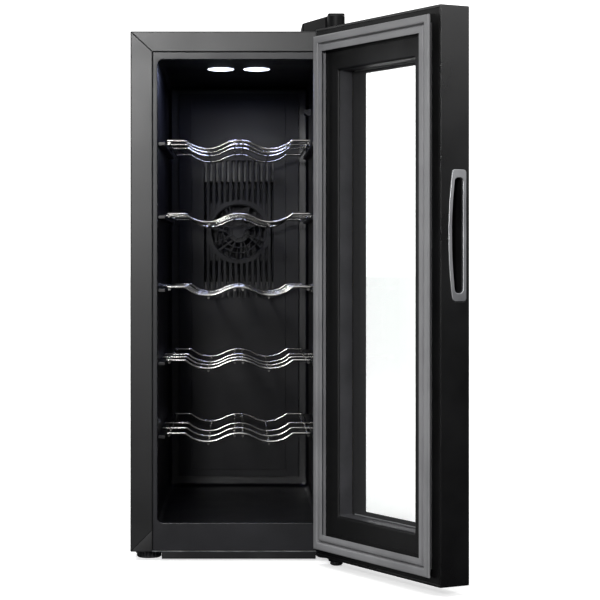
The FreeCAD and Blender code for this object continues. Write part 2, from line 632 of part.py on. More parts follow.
def rear_cover():
    """Screwed steel back with fan slots, exhaust louvres above and intake louvres below."""
    sheet_y = (f"{BACK} - skin", BACK)
    plate = middle("rear_blank", "cab_wide - 2 * skin", sheet_y,
                   ("leg_tall + skin", f"{CROWN} - skin"))
    front, depth = f"{BACK} - skin - 1", "skin + 2"
    vents = [block(f"rear_fan_slot_{i}", f"{i - REAR_SLOTS // 2} * slot_pitch - slot_wide / 2",
                   front, "pump_z - hot_fan / 2 + 4", "slot_wide", depth, "hot_fan - 8")
             for i in range(REAR_SLOTS)]
    for band in ("intake", "exhaust"):
        for i in range(LOUVRE_ROWS):
            for column in (-1, 0, 1):
                vents.append(block(f"{band}_{i}_{column + 1}",
                                   f"{column} * louvre_column - louvre_wide / 2", front,
                                   f"{band}_low + {i} * louvre_step", "louvre_wide", depth,
                                   "louvre_tall"))
    socket = span("rear_socket_hole", ("inlet_x - inlet_wide / 2", "inlet_x + inlet_wide / 2"),
                  (front, f"{BACK} + 2"),
                  ("inlet_z - inlet_tall / 2", "inlet_z + inlet_tall / 2"))
    holes = [rod(f"rear_hole_{i}", x, front, z, "screw_hole", depth, "y")
             for i, (x, z) in enumerate(REAR_SCREWS)]
    node(cut("rear_cover", plate, socket, *vents, *holes), "rear_cover")


def screws(label, spots, head_at, length, out):
    """A set of identical pan-head screws, their heads turned towards out along an axis."""
    pieces = []
    axis, sign = out
    for i, (first, second) in enumerate(spots):
        parts = []
        for part, reach, size in (("head", "0" if sign > 0 else "-head_tall", "head_tall"),
                                  ("shank", f"-{length}" if sign > 0 else "0", length)):
            start = f"{head_at} + {reach}"
            place = (first, start, second) if axis == "y" else (first, second, start)
            parts.append(rod(f"{label}_{part}_{i}", *place, f"screw_{part}", size, axis))
        pieces.append(join(f"{label}_{i}", *parts))
    group = doc.addObject("Part::Compound", label)
    group.Links = pieces
    node(group, label)


BOARDS = {  # a card's centre and size, then each part on it: offset, size, height
    "power_supply_board": {
        "x": 12, "z": 150, "wide": 150, "tall": 84,
        "parts": {"capacitor": (-48, 18, 34, 30, 24), "transformer": (0, 16, 26, 34, 20),
                  "rectifier": (44, -14, 30, 24, 18), "choke": (-20, -24, 40, 14, 12),
                  "fuse": (52, 24, 14, 14, 20)}},
    "control_board": {
        "x": -24, "z": 262, "wide": 96, "tall": 56,
        "parts": {"relay": (-28, 10, 16, 14, 8), "processor": (8, -6, 22, 22, 4),
                  "socket": (34, 14, 12, 10, 10)}},
}


def circuit_card(label, x, z, wide, tall, parts):
    """A card on four posts, with a block for each larger part on it."""
    foot = f"({PARTITION} + skin)"
    card = f"({foot} + board_stand)"
    pieces = [span(f"{label}_card", (f"{x} - {wide} / 2", f"{x} + {wide} / 2"),
                   (card, f"{card} + board"), (f"{z} - {tall} / 2", f"{z} + {tall} / 2"))]
    for part, (aside, above, across, high, proud) in parts.items():
        pieces.append(span(f"{label}_{part}",
                           (f"{x + aside - across / 2}", f"{x + aside + across / 2}"),
                           (card, f"{card} + board + {proud}"),
                           (f"{z + above - high / 2}", f"{z + above + high / 2}")))
    for side in (-1, 1):
        for end in (-1, 1):
            pieces.append(rod(f"{label}_post_{side + 1}_{end + 1}",
                              f"{x} + {side} * ({wide} / 2 - post_inset)", foot,
                              f"{z} + {end} * ({tall} / 2 - post_inset)", "post_radius",
                              "board_stand + 0.5", "y"))
    node(join(label, *pieces), label)


def electronics():
    """Mains supply and control cards on the partition, inside the rear chamber."""
    for label, card in BOARDS.items():
        circuit_card(label, **card)


def power_inlet():
    """Three-pin mains inlet, clipped through the rear cover."""
    across = ("inlet_x - inlet_wide / 2", "inlet_x + inlet_wide / 2")
    height = ("inlet_z - inlet_tall / 2", "inlet_z + inlet_tall / 2")
    floor_y = f"{BACK} - inlet_deep + inlet_lip"
    body = span("inlet_body", across, (f"{BACK} - inlet_deep", f"{BACK} + 1"), height)
    flange = span("inlet_flange", (f"{across[0]} - inlet_lip", f"{across[1]} + inlet_lip"),
                  (BACK, f"{BACK} + inlet_proud"),
                  (f"{height[0]} - inlet_lip", f"{height[1]} + inlet_lip"))
    mouth = span("inlet_mouth", (f"{across[0]} + inlet_wall", f"{across[1]} - inlet_wall"),
                 (floor_y, f"{BACK} + inlet_proud + 2"),
                 (f"{height[0]} + inlet_wall", f"{height[1]} - inlet_wall"))
    node(cut("power_inlet", join("inlet_solid", body, flange), mouth), "power_inlet")
    pins = [span(f"inlet_pin_{name}", (f"inlet_x + {x} - 1", f"inlet_x + {x} + 1"),
                 (floor_y, f"{BACK} - inlet_lip"), (f"inlet_z + {z - 2}", f"inlet_z + {z + 2}"))
            for name, x, z in (("line", "-inlet_pin_side", -1), ("earth", "0", 3),
                               ("neutral", "inlet_pin_side", -1))]
    group = doc.addObject("Part::Compound", "inlet_pins")
    group.Links = pins
    node(group, "inlet_pins")


def temperature_probe():
    """Sensor bead in a clip, high on the right wall."""
    wall = "cav_wide / 2"
    clip = span("probe_clip", (f"{wall} - probe_radius * 2", wall),
                ("probe_y + 4", "probe_y + 4 + probe_clip"),
                ("probe_z - probe_radius - 1.5", "probe_z + probe_radius + 1.5"))
    bead = rod("probe_bead", f"{wall} - probe_radius * 2 - 1", "probe_y", "probe_z",
               "probe_radius", "probe_long", "y")
    node(join("temperature_probe", clip, bead), "temperature_probe")


# ---- hinges -----------------------------------------------------------------------------------

def hinge_cap(name, shrink):
    """The cap over the top hinge: a deck on the cabinet, an arm towards the door, a round end."""
    height = (CROWN, f"{CROWN} + cover_low_tall + 3 - {shrink}")
    right = f"cap_right - {shrink}"
    deck = span(f"{name}_deck", (f"cap_left + {shrink}", right),
                (f"{FRONT} + 1 + {shrink}", f"{FRONT} + cap_back - {shrink}"), height)
    neck = span(f"{name}_neck", (f"cap_neck + {shrink}", right), (PIN_Y, f"{FRONT} + 40"), height)
    end = rod(f"{name}_end", "pin_x", PIN_Y, CROWN, f"cap_radius - {shrink}",
              f"cover_tall - {shrink}")
    return join(name, deck, neck, end)


def top_hinge():
    """Flat steel arm on the cabinet's top, its pin, and the plastic cap over both."""
    low = CROWN
    body = new_body("top_arm_body")
    heel, waist = f"{FRONT} + arm_back", f"{FRONT} + 16"
    outline = profile(body, "top_arm_outline", "XY_Plane",
                      [("arm_left", heel), ("arm_left", waist), ("arm_waist", f"{FRONT} + 8"),
                       ("pin_x - arm_eye", PIN_Y), ("pin_x - pin_radius", f"{PIN_Y} - arm_nose"),
                       ("pin_x + pin_radius", f"{PIN_Y} - arm_nose"),
                       ("pin_x + arm_eye", PIN_Y), ("arm_right", f"{waist} - 2"),
                       ("arm_right", heel)])
    body.Tip = pad(body, "top_arm", outline, "plate")
    put(body, "0", "0", low)
    holes = [rod(f"top_arm_hole_{i}", x, y, f"{low} - 1", "screw_hole", "6")
             for i, (x, y) in enumerate(HINGE_SCREWS)]
    eye = rod("top_arm_eye", "pin_x", PIN_Y, f"{low} - 1", "pin_radius", "6")
    node(cut("top_arm_drilled", body, eye, *holes), "top_hinge_bracket")
    pin_low = "door_high - bush_tall + pin_short"
    pin = join("top_pin", rod("top_pin_shank", "pin_x", PIN_Y, pin_low, "pin_radius",
                              f"{low} + plate - ({pin_low})"),
               rod("top_pin_head", "pin_x", PIN_Y, f"{low} + plate", "pin_head", "pin_head_tall"))
    node(pin, "top_hinge_pin")
    slope = block("cap_slope", "cap_left - 16", f"{FRONT} - 60", f"{low} + cover_low_tall - 2",
                  "60", "140", "20")
    slope.Placement.Rotation = FreeCAD.Rotation(Vector(0, 1, 0), SIZES["cover_slope"])
    node(cut("top_hinge_cover", hinge_cap("cap_outside", "0"),
             hinge_cap("cap_inside", "liner_wall"), slope), "top_hinge_cover")
    screws("top_hinge_screws", HINGE_SCREWS, f"{CROWN} + plate", "arm_screw", ("z", 1))


def bottom_hinge():
    """Cranked steel arm under the cabinet's corner, with the lower pin and its own small foot."""
    root = span("low_arm_root", ("foot_x - foot_notch + 0.5", f"{SIDE} - 3"),
                (FRONT, f"{FRONT} + low_arm_root"), ("low_arm_low", "leg_tall"))
    tongue = span("low_arm_tongue", ("pin_x - cap_radius", "pin_x + cap_radius"),
                  (PIN_Y, f"{FRONT} + 1"), ("low_arm_low", "door_low - 1"))
    boss = rod("low_arm_boss", "pin_x", PIN_Y, "low_arm_under", "cap_radius",
               "door_low - 1 - low_arm_under")
    lift = span("low_arm_lift", ("foot_x - foot_notch", SIDE),
                (f"{FRONT} + 2", f"{FRONT} + low_arm_root + 1"), ("low_arm_under", BOLT_SEAT))
    eye = rod("low_arm_eye", "pin_x", PIN_Y, "0", "pin_radius", "20")
    holes = [rod(f"low_arm_hole_{i}", x, y, "0", "screw_hole", "door_low * 2")
             for i, (x, y) in enumerate(BRACKET_SCREWS)]
    node(cut("bottom_hinge_bracket", join("low_arm", root, tongue, boss), lift, eye, *holes),
         "bottom_hinge_bracket")
    node(rod("bottom_hinge_pin", "pin_x", PIN_Y, "low_arm_under", "pin_radius",
             "door_low + bush_tall - pin_short - low_arm_under"), "bottom_hinge_pin")
    node(rod("bottom_hinge_foot", "pin_x", PIN_Y, "0", "cap_radius - low_foot_trim",
             "low_arm_under"), "bottom_hinge_foot")
    screws("bottom_hinge_screws", BRACKET_SCREWS, BOLT_SEAT, "bolt", ("z", -1))


# ---- door, drawn shut -------------------------------------------------------------------------

def frame_box(name, inset, y, low="door_low", high="door_high"):
    return middle(name, f"door_wide - 2 * ({inset})", y,
                  (f"{low} + ({inset})", f"{high} - ({inset})"))


def window_box(name, grow, y):
    return middle(name, f"door_wide - 2 * window_side + 2 * ({grow})", y,
                  (f"window_low - ({grow})", f"window_high + ({grow})"))


def hinge_plugs(name, radius, extra=0):
    """The two bores for the door's bushes."""
    return [rod(f"{name}_low", "pin_x", PIN_Y, f"door_low - {extra}", radius,
                f"bush_tall + {extra}"),
            rod(f"{name}_top", "pin_x", PIN_Y, "door_high - bush_tall", radius,
                f"bush_tall + {extra}")]


def grip_outline(name, inset, start, deep):
    """D-shaped plug in the free edge: straight towards the outer face, bowed towards the inner."""
    near = f"{DOOR_OUT} + grip_outer + ({inset})"
    plug = span(f"{name}_slab", (start, f"{start} + {deep}"), (near, f"{DOOR_IN} - grip_inner + 1"),
                (f"grip_z - grip_long / 2 + ({inset}) * 2", f"grip_z + grip_long / 2 - ({inset}) * 2"))
    bow = rod(f"{name}_bow", start, f"{DOOR_IN} - grip_inner - ({inset}) - grip_bow", "grip_z",
              "grip_bow", deep, "x")
    lens = overlap(f"{name}_lens", plug, bow)
    return rounded(name, lens, "grip_round", runs_along("x"))


def door_frame():
    """Moulded door surround: side walls, a web behind the outer glass and a lip round it."""
    blank = rounded("frame_blank", frame_box("frame_block", "0", (DOOR_OUT, DOOR_IN)),
                    "edge_round", runs_along("y"))
    core = frame_box("frame_core", "door_wall", (f"{GLASS_OUT} + door_wall", f"{DOOR_IN} + 1"))
    rebate = frame_box("frame_rebate", "glass_inset", (f"{DOOR_OUT} - 1", GLASS_OUT))
    window = window_box("frame_window", "glaze_lap + glaze_room", (f"{GLASS_OUT} - 1", DOOR_IN))
    touch = middle("frame_touch", "touch_wide", (f"{GLASS_OUT} - 1", f"{GLASS_OUT} + door_wall + 1"),
                   ("touch_low", "touch_high"))
    grip = grip_outline("frame_grip", "0", f"-{DOOR_HALF} - 1", "door_wall + 2")
    hollow = cut("frame_hollow", blank, core, rebate, window, touch, grip,
                 *hinge_plugs("frame_bush", "bush_radius", 1))
    swing(hollow, "door_frame")


def door_liner():
    """Inner panel with a deep window reveal that reaches down to the glazing."""
    sheet_y = (f"{DOOR_IN} - door_wall", DOOR_IN)
    panel = frame_box("panel_sheet", "door_wall", sheet_y)
    reveal = window_box("panel_reveal", "door_wall", (GLASS_IN, DOOR_IN))
    opening = window_box("panel_opening", "0", (f"{GLASS_IN} - 1", f"{DOOR_IN} + 1"))
    swing(cut("door_liner", join("panel_solid", panel, reveal), opening), "door_liner")


def door_foam():
    """Foam in the hollow of the door surround."""
    slab = frame_box("door_foam_slab", "door_wall",
                     (f"{GLASS_OUT} + door_wall", f"{DOOR_IN} - door_wall"))
    gaps = [window_box("door_foam_reveal", "door_wall", (GLASS_IN, DOOR_IN)),
            window_box("door_foam_glass", "glaze_lap + glaze_room", (GLASS_OUT, GLASS_IN)),
            middle("door_foam_touch", "touch_wide", (GLASS_OUT, f"{GLASS_OUT} + door_wall + 3"),
                   ("touch_low", "touch_high")),
            grip_outline("door_foam_grip", "grip_rim - grip_wall", f"-{DOOR_HALF}", "grip_deep + 2")]
    swing(cut("door_foam", slab, *gaps, *hinge_plugs("door_foam_bush", "bush_radius")),
          "door_foam")


def glazing():
    """Sealed double glazing: full outer pane, spacer, inner pane and its printed border."""
    for label, pane in (
            ("outer_glass", frame_box("outer_pane", "glass_inset", (DOOR_OUT, GLASS_OUT))),
            ("inner_glass", window_box("inner_pane", "glaze_lap",
                                       (f"{GLASS_IN} - inner_glass", GLASS_IN)))):
        swing(rounded(f"{label}_ground", pane, "arris", lambda edge: True), label)
    gap = (GLASS_OUT, f"{GLASS_IN} - inner_glass")
    spacer = cut("glass_spacer", window_box("spacer_outside", "glaze_lap", gap),
                 window_box("spacer_inside", "0", (f"{GLASS_OUT} - 1", f"{GLASS_IN} + 1")))
    swing(spacer, "glass_spacer")
    border = (GLASS_IN, f"{GLASS_IN} + mask_thick")
    clear = middle("mask_clear", "door_wide - 2 * mask_side", (f"{GLASS_IN} - 1", f"{GLASS_IN} + 1"),
                   ("mask_low", "mask_high"))
    swing(cut("glass_border", window_box("mask_sheet", "-0.2", border), clear), "glass_border")


def seal_ring(name, outer, inner, y):
    return cut(name, frame_box(f"{name}_outside", outer, y),
               frame_box(f"{name}_inside", inner, (f"{y[0]} - 1", f"{y[1]} + 1")))


def door_seal():
    """Magnetic gasket: a flat sealing band, a groove and a second lip on one base."""
    face = f"{DOOR_IN} + seal_tall"
    base = seal_ring("seal_foot", "seal_margin", "seal_margin + seal_wide",
                     (DOOR_IN, f"{DOOR_IN} + seal_base"))
    band = seal_ring("seal_band_ring", "seal_margin", "seal_margin + seal_band", (DOOR_IN, face))
    lip = seal_ring("seal_lip_ring", "seal_margin + seal_band + seal_groove",
                    "seal_margin + seal_wide", (DOOR_IN, f"{face} - 1"))
    solid = join("seal_solid", base, band, lip)
    face_y = -SIZES["cab_deep"] / 2 - SIZES["door_set"] + SIZES["seal_tall"]
    soft = rounded("seal_soft", solid, "seal_round", in_plane_y(face_y))
    inset = "seal_margin + (seal_band - magnet_wide) / 2"
    slot_y = (f"{face} - 1.2 - magnet_thick", f"{face} - 1.2")
    magnet = seal_ring("magnet_ring", inset, f"{inset} + magnet_wide", slot_y)
    swing(cut("door_gasket", soft, seal_ring("magnet_way", inset, f"{inset} + magnet_wide", slot_y)),
          "door_gasket")
    swing(magnet, "gasket_magnet")


def handle():
    """Recessed pull in the free edge: a bright D-shaped rim round a black cup."""
    outside = f"-{DOOR_HALF} - grip_proud"
    rim = cut("grip_rim_ring",
              grip_outline("grip_rim_outside", "0", outside, "door_wall + grip_proud"),
              grip_outline("grip_rim_inside", "grip_rim", f"{outside} - 1", "door_wall + 4"))
    swing(rim, "handle_bezel")
    cup = cut("grip_cup",
              grip_outline("grip_cup_outside", "grip_rim - grip_wall", f"-{DOOR_HALF} + door_wall",
                           "grip_deep - door_wall"),
              grip_outline("grip_cup_inside", "grip_rim", f"-{DOOR_HALF} + door_wall - 1",
                           "grip_deep - door_wall - grip_wall + 1"))
    swing(cup, "handle_cup")


def door_fittings():
    """Plain bushes for the pins and the touch card behind the glass."""
    for where, low in (("bottom", "door_low"), ("top", "door_high - bush_tall")):
        sleeve = rod(f"bush_{where}_sleeve", "pin_x", PIN_Y, low, "bush_radius", "bush_tall")
        flange_z = "door_low - collar_tall" if where == "bottom" else "door_high"
        flange = rod(f"bush_{where}_flange", "pin_x", PIN_Y, flange_z, "bush_radius + bush_collar",
                     "collar_tall")
        bore = rod(f"bush_{where}_bore", "pin_x", PIN_Y, f"{low} - 2", "pin_radius + run_gap",
                   "bush_tall + 4")
        swing(cut(f"bush_{where}", join(f"bush_{where}_solid", sleeve, flange), bore),
              f"{where}_hinge_bush")
    card = middle("touch_card", "touch_wide - 2 * touch_edge", (GLASS_OUT, f"{GLASS_OUT} + board"),
                  ("touch_low + touch_edge", "touch_high - touch_edge"))
    display = middle("touch_display", "display_wide",
                     (f"{GLASS_OUT} + board", f"{GLASS_OUT} + board + 2"),
                     ("display_low", "display_high"))
    swing(join("touch_board", card, display), "touch_board")


# ---- assembly ---------------------------------------------------------------------------------

outer_shell()
base_plate()
plinth()
feet()
inner_liner()
rack_runners()
insulation()
partition()
fan_cover()
fan("cold_fan", "cold_fan", f"({COVER_FACE} + cover_wall + 0.5)", "cold_fan_deep", 7)
heat_pump()
fan("hot_fan", "hot_fan", f"({BACK} - skin - 1 - hot_fan_deep)", "hot_fan_deep", 7)
lamps()
racks()
rear_cover()
screws("rear_screws", REAR_SCREWS, BACK, "rear_screw", ("y", 1))
electronics()
power_inlet()
temperature_probe()
top_hinge()
bottom_hinge()
door_frame()
door_liner()
door_foam()
glazing()
door_seal()
handle()
door_fittings()

doc.recompute()
for thing in doc.Objects:
    if "Invalid" in thing.State or "Error" in thing.State:
        raise RuntimeError(f"{thing.Name} failed: {thing.State}")
for thing in nodes:
    if thing.Shape.isNull() or not thing.Shape.isValid():
        raise RuntimeError(f"{thing.Label} has no valid shape")

os.makedirs("parts", exist_ok=True)
for thing in nodes:
    thing.Shape.exportStep(f"parts/{thing.Label}.step")
    box = thing.Shape.BoundBox
    print(f"{thing.Label:24s} {len(thing.Shape.Solids)} solids {thing.Shape.Volume / 1000:9.1f} cm3 "
          f"x {box.XMin:7.1f} {box.XMax:7.1f} y {box.YMin:7.1f} {box.YMax:7.1f} "
          f"z {box.ZMin:6.1f} {box.ZMax:6.1f}")
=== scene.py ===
import bmesh
import bpy
import json
import math
from mathutils import Matrix, Vector


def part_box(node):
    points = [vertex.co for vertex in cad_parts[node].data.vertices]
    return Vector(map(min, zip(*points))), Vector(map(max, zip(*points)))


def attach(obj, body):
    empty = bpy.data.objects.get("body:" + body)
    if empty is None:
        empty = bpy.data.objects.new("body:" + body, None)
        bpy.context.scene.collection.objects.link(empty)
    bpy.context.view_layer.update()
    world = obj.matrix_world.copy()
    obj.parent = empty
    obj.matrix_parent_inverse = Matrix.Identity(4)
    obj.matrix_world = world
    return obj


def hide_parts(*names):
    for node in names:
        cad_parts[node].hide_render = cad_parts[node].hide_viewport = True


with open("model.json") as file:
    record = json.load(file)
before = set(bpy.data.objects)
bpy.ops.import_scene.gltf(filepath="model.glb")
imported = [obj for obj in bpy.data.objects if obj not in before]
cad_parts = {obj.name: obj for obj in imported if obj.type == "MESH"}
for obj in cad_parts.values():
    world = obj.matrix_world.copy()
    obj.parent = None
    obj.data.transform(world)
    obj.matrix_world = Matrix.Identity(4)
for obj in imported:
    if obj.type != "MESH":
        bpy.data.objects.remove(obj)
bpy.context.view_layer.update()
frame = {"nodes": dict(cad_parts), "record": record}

# ---- Studio ----
# A white floor that runs out of sight under a white surround. One soft box stands beside the
# camera, high on the left. Weaker ones fill from the right, graze the door and the feet, and light
# the back, and a broad sheet of light hangs overhead.

scene = bpy.context.scene
bodies = frame["record"]["behaviour"]["bodies"]
shell_low, shell_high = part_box("outer_shell")
mouth_y = shell_low.y


def linear(code):
    """An sRGB hex colour as the linear values that a shader takes."""
    parts = [int(code[i:i + 2], 16) / 255 for i in (1, 3, 5)]
    return (*(p / 12.92 if p <= 0.04045 else ((p + 0.055) / 1.055) ** 2.4 for p in parts), 1.0)


def add(tree, kind, inputs=None, **settings):
    """A node with its settings, its values and the links into it; a list links to one socket."""
    node = tree.nodes.new(kind)
    for name, value in settings.items():
        setattr(node, name, value)
    for name, value in (inputs or {}).items():
        for entry in value if isinstance(value, list) else [value]:
            if isinstance(entry, bpy.types.NodeSocket):
                tree.links.new(entry, node.inputs[name])
            else:
                node.inputs[name].default_value = entry
    return node


def mesh_object(name, mesh):
    thing = bpy.data.objects.new(name, mesh)
    scene.collection.objects.link(thing)
    return thing


def seen_directly(tree):
    """One for what the camera sees, plain or through glass; nought for light and mirror images."""
    path = add(tree, "ShaderNodeLightPath")
    return add(tree, "ShaderNodeMath", {0: path.outputs["Is Camera Ray"],
                                        1: path.outputs["Is Transmission Ray"]},
               operation="MAXIMUM").outputs[0]


FLOOR_REACH = 40.0
floor_sheet = bpy.data.meshes.new("studio_floor")
floor_sheet.from_pydata([(x * FLOOR_REACH, y * FLOOR_REACH, 0)
                         for x, y in ((-1, -1), (1, -1), (1, 1), (-1, 1))], [], [(0, 1, 2, 3)])
floor_paint = bpy.data.materials.new("white studio floor")
floor_paint.use_nodes = True
paint = floor_paint.node_tree
paint.nodes.clear()
bright = add(paint, "ShaderNodeBsdfDiffuse", {"Color": linear("#fcfcfc")})
lift = add(paint, "ShaderNodeEmission", {"Color": linear("#ffffff"), "Strength": 0.60})
lifted = add(paint, "ShaderNodeAddShader", {0: bright.outputs[0], 1: lift.outputs[0]})
muted = add(paint, "ShaderNodeBsdfDiffuse", {"Color": linear("#2c2c2c")})
floor_mix = add(paint, "ShaderNodeMixShader", {0: seen_directly(paint), 1: muted.outputs[0],
                                               2: lifted.outputs[0]})
add(paint, "ShaderNodeOutputMaterial", {"Surface": floor_mix.outputs[0]})
floor_sheet.materials.append(floor_paint)
mesh_object("studio_floor", floor_sheet)

world = bpy.data.worlds.new("studio")
scene.world = world
world.use_nodes = True
sky = world.node_tree
sky.nodes.clear()
white = add(sky, "ShaderNodeBackground", {"Color": (1, 1, 1, 1), "Strength": 1.7})
facing = add(sky, "ShaderNodeTexCoord")
heading = add(sky, "ShaderNodeSeparateXYZ", {"Vector": facing.outputs["Generated"]})
fade = add(sky, "ShaderNodeMapRange", {"Value": heading.outputs["Y"], "From Min": -1.0,
                                       "From Max": 0.3, "To Min": 0.22, "To Max": 0.03})
dim = add(sky, "ShaderNodeBackground", {"Color": (0.96, 0.97, 1, 1),
                                        "Strength": fade.outputs["Result"]})
surround = add(sky, "ShaderNodeMixShader", {0: seen_directly(sky), 1: dim.outputs[0],
                                            2: white.outputs[0]})
add(sky, "ShaderNodeOutputWorld", {"Surface": surround.outputs[0]})


def soft_box(name, place, target, size, power, colour=(1, 1, 1)):
    """A rectangular lamp of a given size in metres and power in watts, aimed at a target."""
    lamp = bpy.data.lights.new(name, "AREA")
    lamp.shape = "RECTANGLE"
    lamp.size, lamp.size_y = size
    lamp.energy = power
    lamp.color = colour
    holder = bpy.data.objects.new(name, lamp)
    scene.collection.objects.link(holder)
    holder.location = place
    holder.rotation_euler = (Vector(target) - Vector(place)).to_track_quat("-Z", "Y").to_euler()


heart = Vector((0, mouth_y, 0.35))
soft_box("key", (-0.42, -2.75, 0.95), heart + Vector((0, 0, 0.25)), (0.35, 0.35), 28)
soft_box("fill", (2.3, -1.5, 1.5), heart + Vector((0.2, 0, 0)), (1.0, 1.2), 12)
soft_box("side", (-1.4, 0.25, 0.45), heart + Vector((0.2, -0.2, 0)), (0.5, 0.9), 3)
soft_box("kick", (-1.3, -2.0, 0.25), (-0.12, -0.2, 0), (0.4, 0.2), 3)
soft_box("rim", (1.5, 2.2, 1.6), heart, (1.4, 1.4), 14)
soft_box("back", (-1.6, 2.4, 1.2), heart, (1.2, 1.4), 8)

overhead = bpy.data.lights.new("overhead", "SUN")
overhead.energy = 2.2
overhead.angle = math.radians(60)
overhead_holder = bpy.data.objects.new("overhead", overhead)
scene.collection.objects.link(overhead_holder)
overhead_holder.rotation_euler = (math.radians(5), math.radians(-12), 0)

eye = bpy.data.cameras.new("camera")
eye.sensor_width = 36
eye.lens = 115.75
eye.shift_x = 0.1021
eye.shift_y = -0.0656
camera = bpy.data.objects.new("camera", eye)
scene.collection.objects.link(camera)
camera.location = (0, mouth_y - 2.312, 0.360)
camera.rotation_euler = (math.radians(90), 0, 0)
scene.camera = camera
scene.view_settings.view_transform = "Standard"

# ---- Levelling feet ----
# Four round pads of black nylon with finger ribs round the edge, moulded on steel studs that
# screw up through the base plate. A smaller ribbed one stands under the lower hinge pin.

FOOT_RIB = 0.0011
FOOT_RIB_PITCH = 0.0042
PAD_TALL = 0.010
PAD_ROUND = 0.0012
STUD_RADIUS = 0.004


def finish_of(name, colour, **sockets):
    """A material of one Principled shader, its even values set on the shader's own sockets."""
    material = bpy.data.materials.new(name)
    material.use_nodes = True
    tree = material.node_tree
    tree.nodes.clear()
    shader = add(tree, "ShaderNodeBsdfPrincipled", {"Base Color": linear(colour)})
    shader.name = "surface"
    for socket, value in sockets.items():
        shader.inputs[socket.replace("_", " ")].default_value = value
    add(tree, "ShaderNodeOutputMaterial", {"Surface": shader.outputs["BSDF"]})
    return material


def noise_of(tree, size, detail, stretch=(1, 1, 1)):
    """Noise in the piece's own space; its size is a real one, in metres."""
    place = add(tree, "ShaderNodeTexCoord")
    scaled = add(tree, "ShaderNodeMapping", {"Vector": place.outputs["Object"], "Scale": stretch})
    noise = add(tree, "ShaderNodeTexNoise",
                {"Vector": scaled.outputs["Vector"], "Scale": 1 / size, "Detail": detail})
    return noise.outputs["Fac"]


def relief(material, size, depth, detail=3.0, stretch=(1, 1, 1)):
    """Raise a fine noise on a finish; its depth is a real one too."""
    tree = material.node_tree
    bump = add(tree, "ShaderNodeBump",
               {"Height": noise_of(tree, size, detail, stretch), "Distance": depth})
    tree.links.new(bump.outputs["Normal"], tree.nodes["surface"].inputs["Normal"])


def drift(material, size, shades, roughness):
    """Let a finish wander between two shades and two roughnesses over patches of a real size."""
    tree = material.node_tree
    patches = noise_of(tree, size, 4.0)
    spread, gloss = [add(tree, "ShaderNodeMapRange",
                         {"Value": patches, "From Min": 0.35, "From Max": 0.65,
                          "To Min": low, "To Max": high}).outputs["Result"]
                     for low, high in ((0, 1), roughness)]
    shade = add(tree, "ShaderNodeMix",
                {"Factor": spread, 6: linear(shades[0]), 7: linear(shades[1])}, data_type="RGBA")
    surface = tree.nodes["surface"]
    tree.links.new(shade.outputs[2], surface.inputs["Base Color"])
    tree.links.new(gloss, surface.inputs["Roughness"])


# Glass-filled nylon, painted a greyer black than the casings so that the feet look lit: painted
# light.
lit_foot_nylon = finish_of("glass filled nylon painted paler as lit", "#2d2d2f", IOR=1.53)
drift(lit_foot_nylon, 0.01, ("#29292b", "#353537"), (0.34, 0.44))
relief(lit_foot_nylon, 0.0005, 0.00002)


def lathe(bm, outline, centre, steps=48):
    """Turn an outline of (radius, height) points about the upright axis through centre.

    It gives back the rings of points, from the first to the last."""
    rings = []
    for radius, height in outline:
        count = steps if radius > 1e-6 else 1
        turns = [2 * math.pi * i / steps for i in range(count)]
        rings.append([bm.verts.new((centre[0] + radius * math.cos(a),
                                    centre[1] + radius * math.sin(a), centre[2] + height))
                      for a in turns])
    for low, high in zip(rings, rings[1:]):
        for i in range(steps):
            corners = [ring[j % len(ring)] for ring, j in
                       ((low, i), (low, i + 1), (high, i + 1), (high, i))]
            bm.faces.new(list(dict.fromkeys(corners)))
    return rings


def round_in(centre, radius, start, end, steps=4):
    """Points on an arc, by its centre and two angles in degrees."""
    angles = [math.radians(start + (end - start) * i / steps) for i in range(steps + 1)]
    return [(centre[0] + radius * math.cos(a), centre[1] + radius * math.sin(a)) for a in angles]


def mesh_of(name, bm, material, sharp=35, outward=True):
    """Turn a mesh under construction into an object with one finish."""
    bmesh.ops.remove_doubles(bm, verts=bm.verts, dist=1e-7)
    if outward:
        bmesh.ops.recalc_face_normals(bm, faces=bm.faces)
    mesh = bpy.data.meshes.new(name)
    bm.to_mesh(mesh)
    bm.free()
    mesh.materials.append(material)
    mesh.shade_smooth()
    mesh.set_sharp_from_angle(angle=math.radians(sharp))
    return mesh_object(name, mesh)


def stands_for(piece, node):
    """Let a piece take a CAD node's place: its body, with the node hidden."""
    body = next(name for name, members in bodies.items() if node in members)
    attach(piece, body)
    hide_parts(node)
    return piece


def tree_of(name, sockets):
    """A geometry tree with a mesh in, named inputs for its sizes, and a mesh out."""
    tree = bpy.data.node_groups.new(name, "GeometryNodeTree")
    tree.interface.new_socket("Geometry", in_out="INPUT", socket_type="NodeSocketGeometry")
    for label, kind in {**sockets, "Finish": "Material"}.items():
        tree.interface.new_socket(label, in_out="INPUT", socket_type=f"NodeSocket{kind}")
    tree.interface.new_socket("Geometry", in_out="OUTPUT", socket_type="NodeSocketGeometry")
    return tree, add(tree, "NodeGroupInput").outputs


def end_tree(tree, geometry, finish):
    """Make the copies real, give them their finish and hand them out."""
    real = add(tree, "GeometryNodeRealizeInstances", {"Geometry": geometry})
    dressed = add(tree, "GeometryNodeSetMaterial", {"Geometry": real.outputs[0],
                                                    "Material": finish})
    add(tree, "NodeGroupOutput", {"Geometry": dressed.outputs[0]})


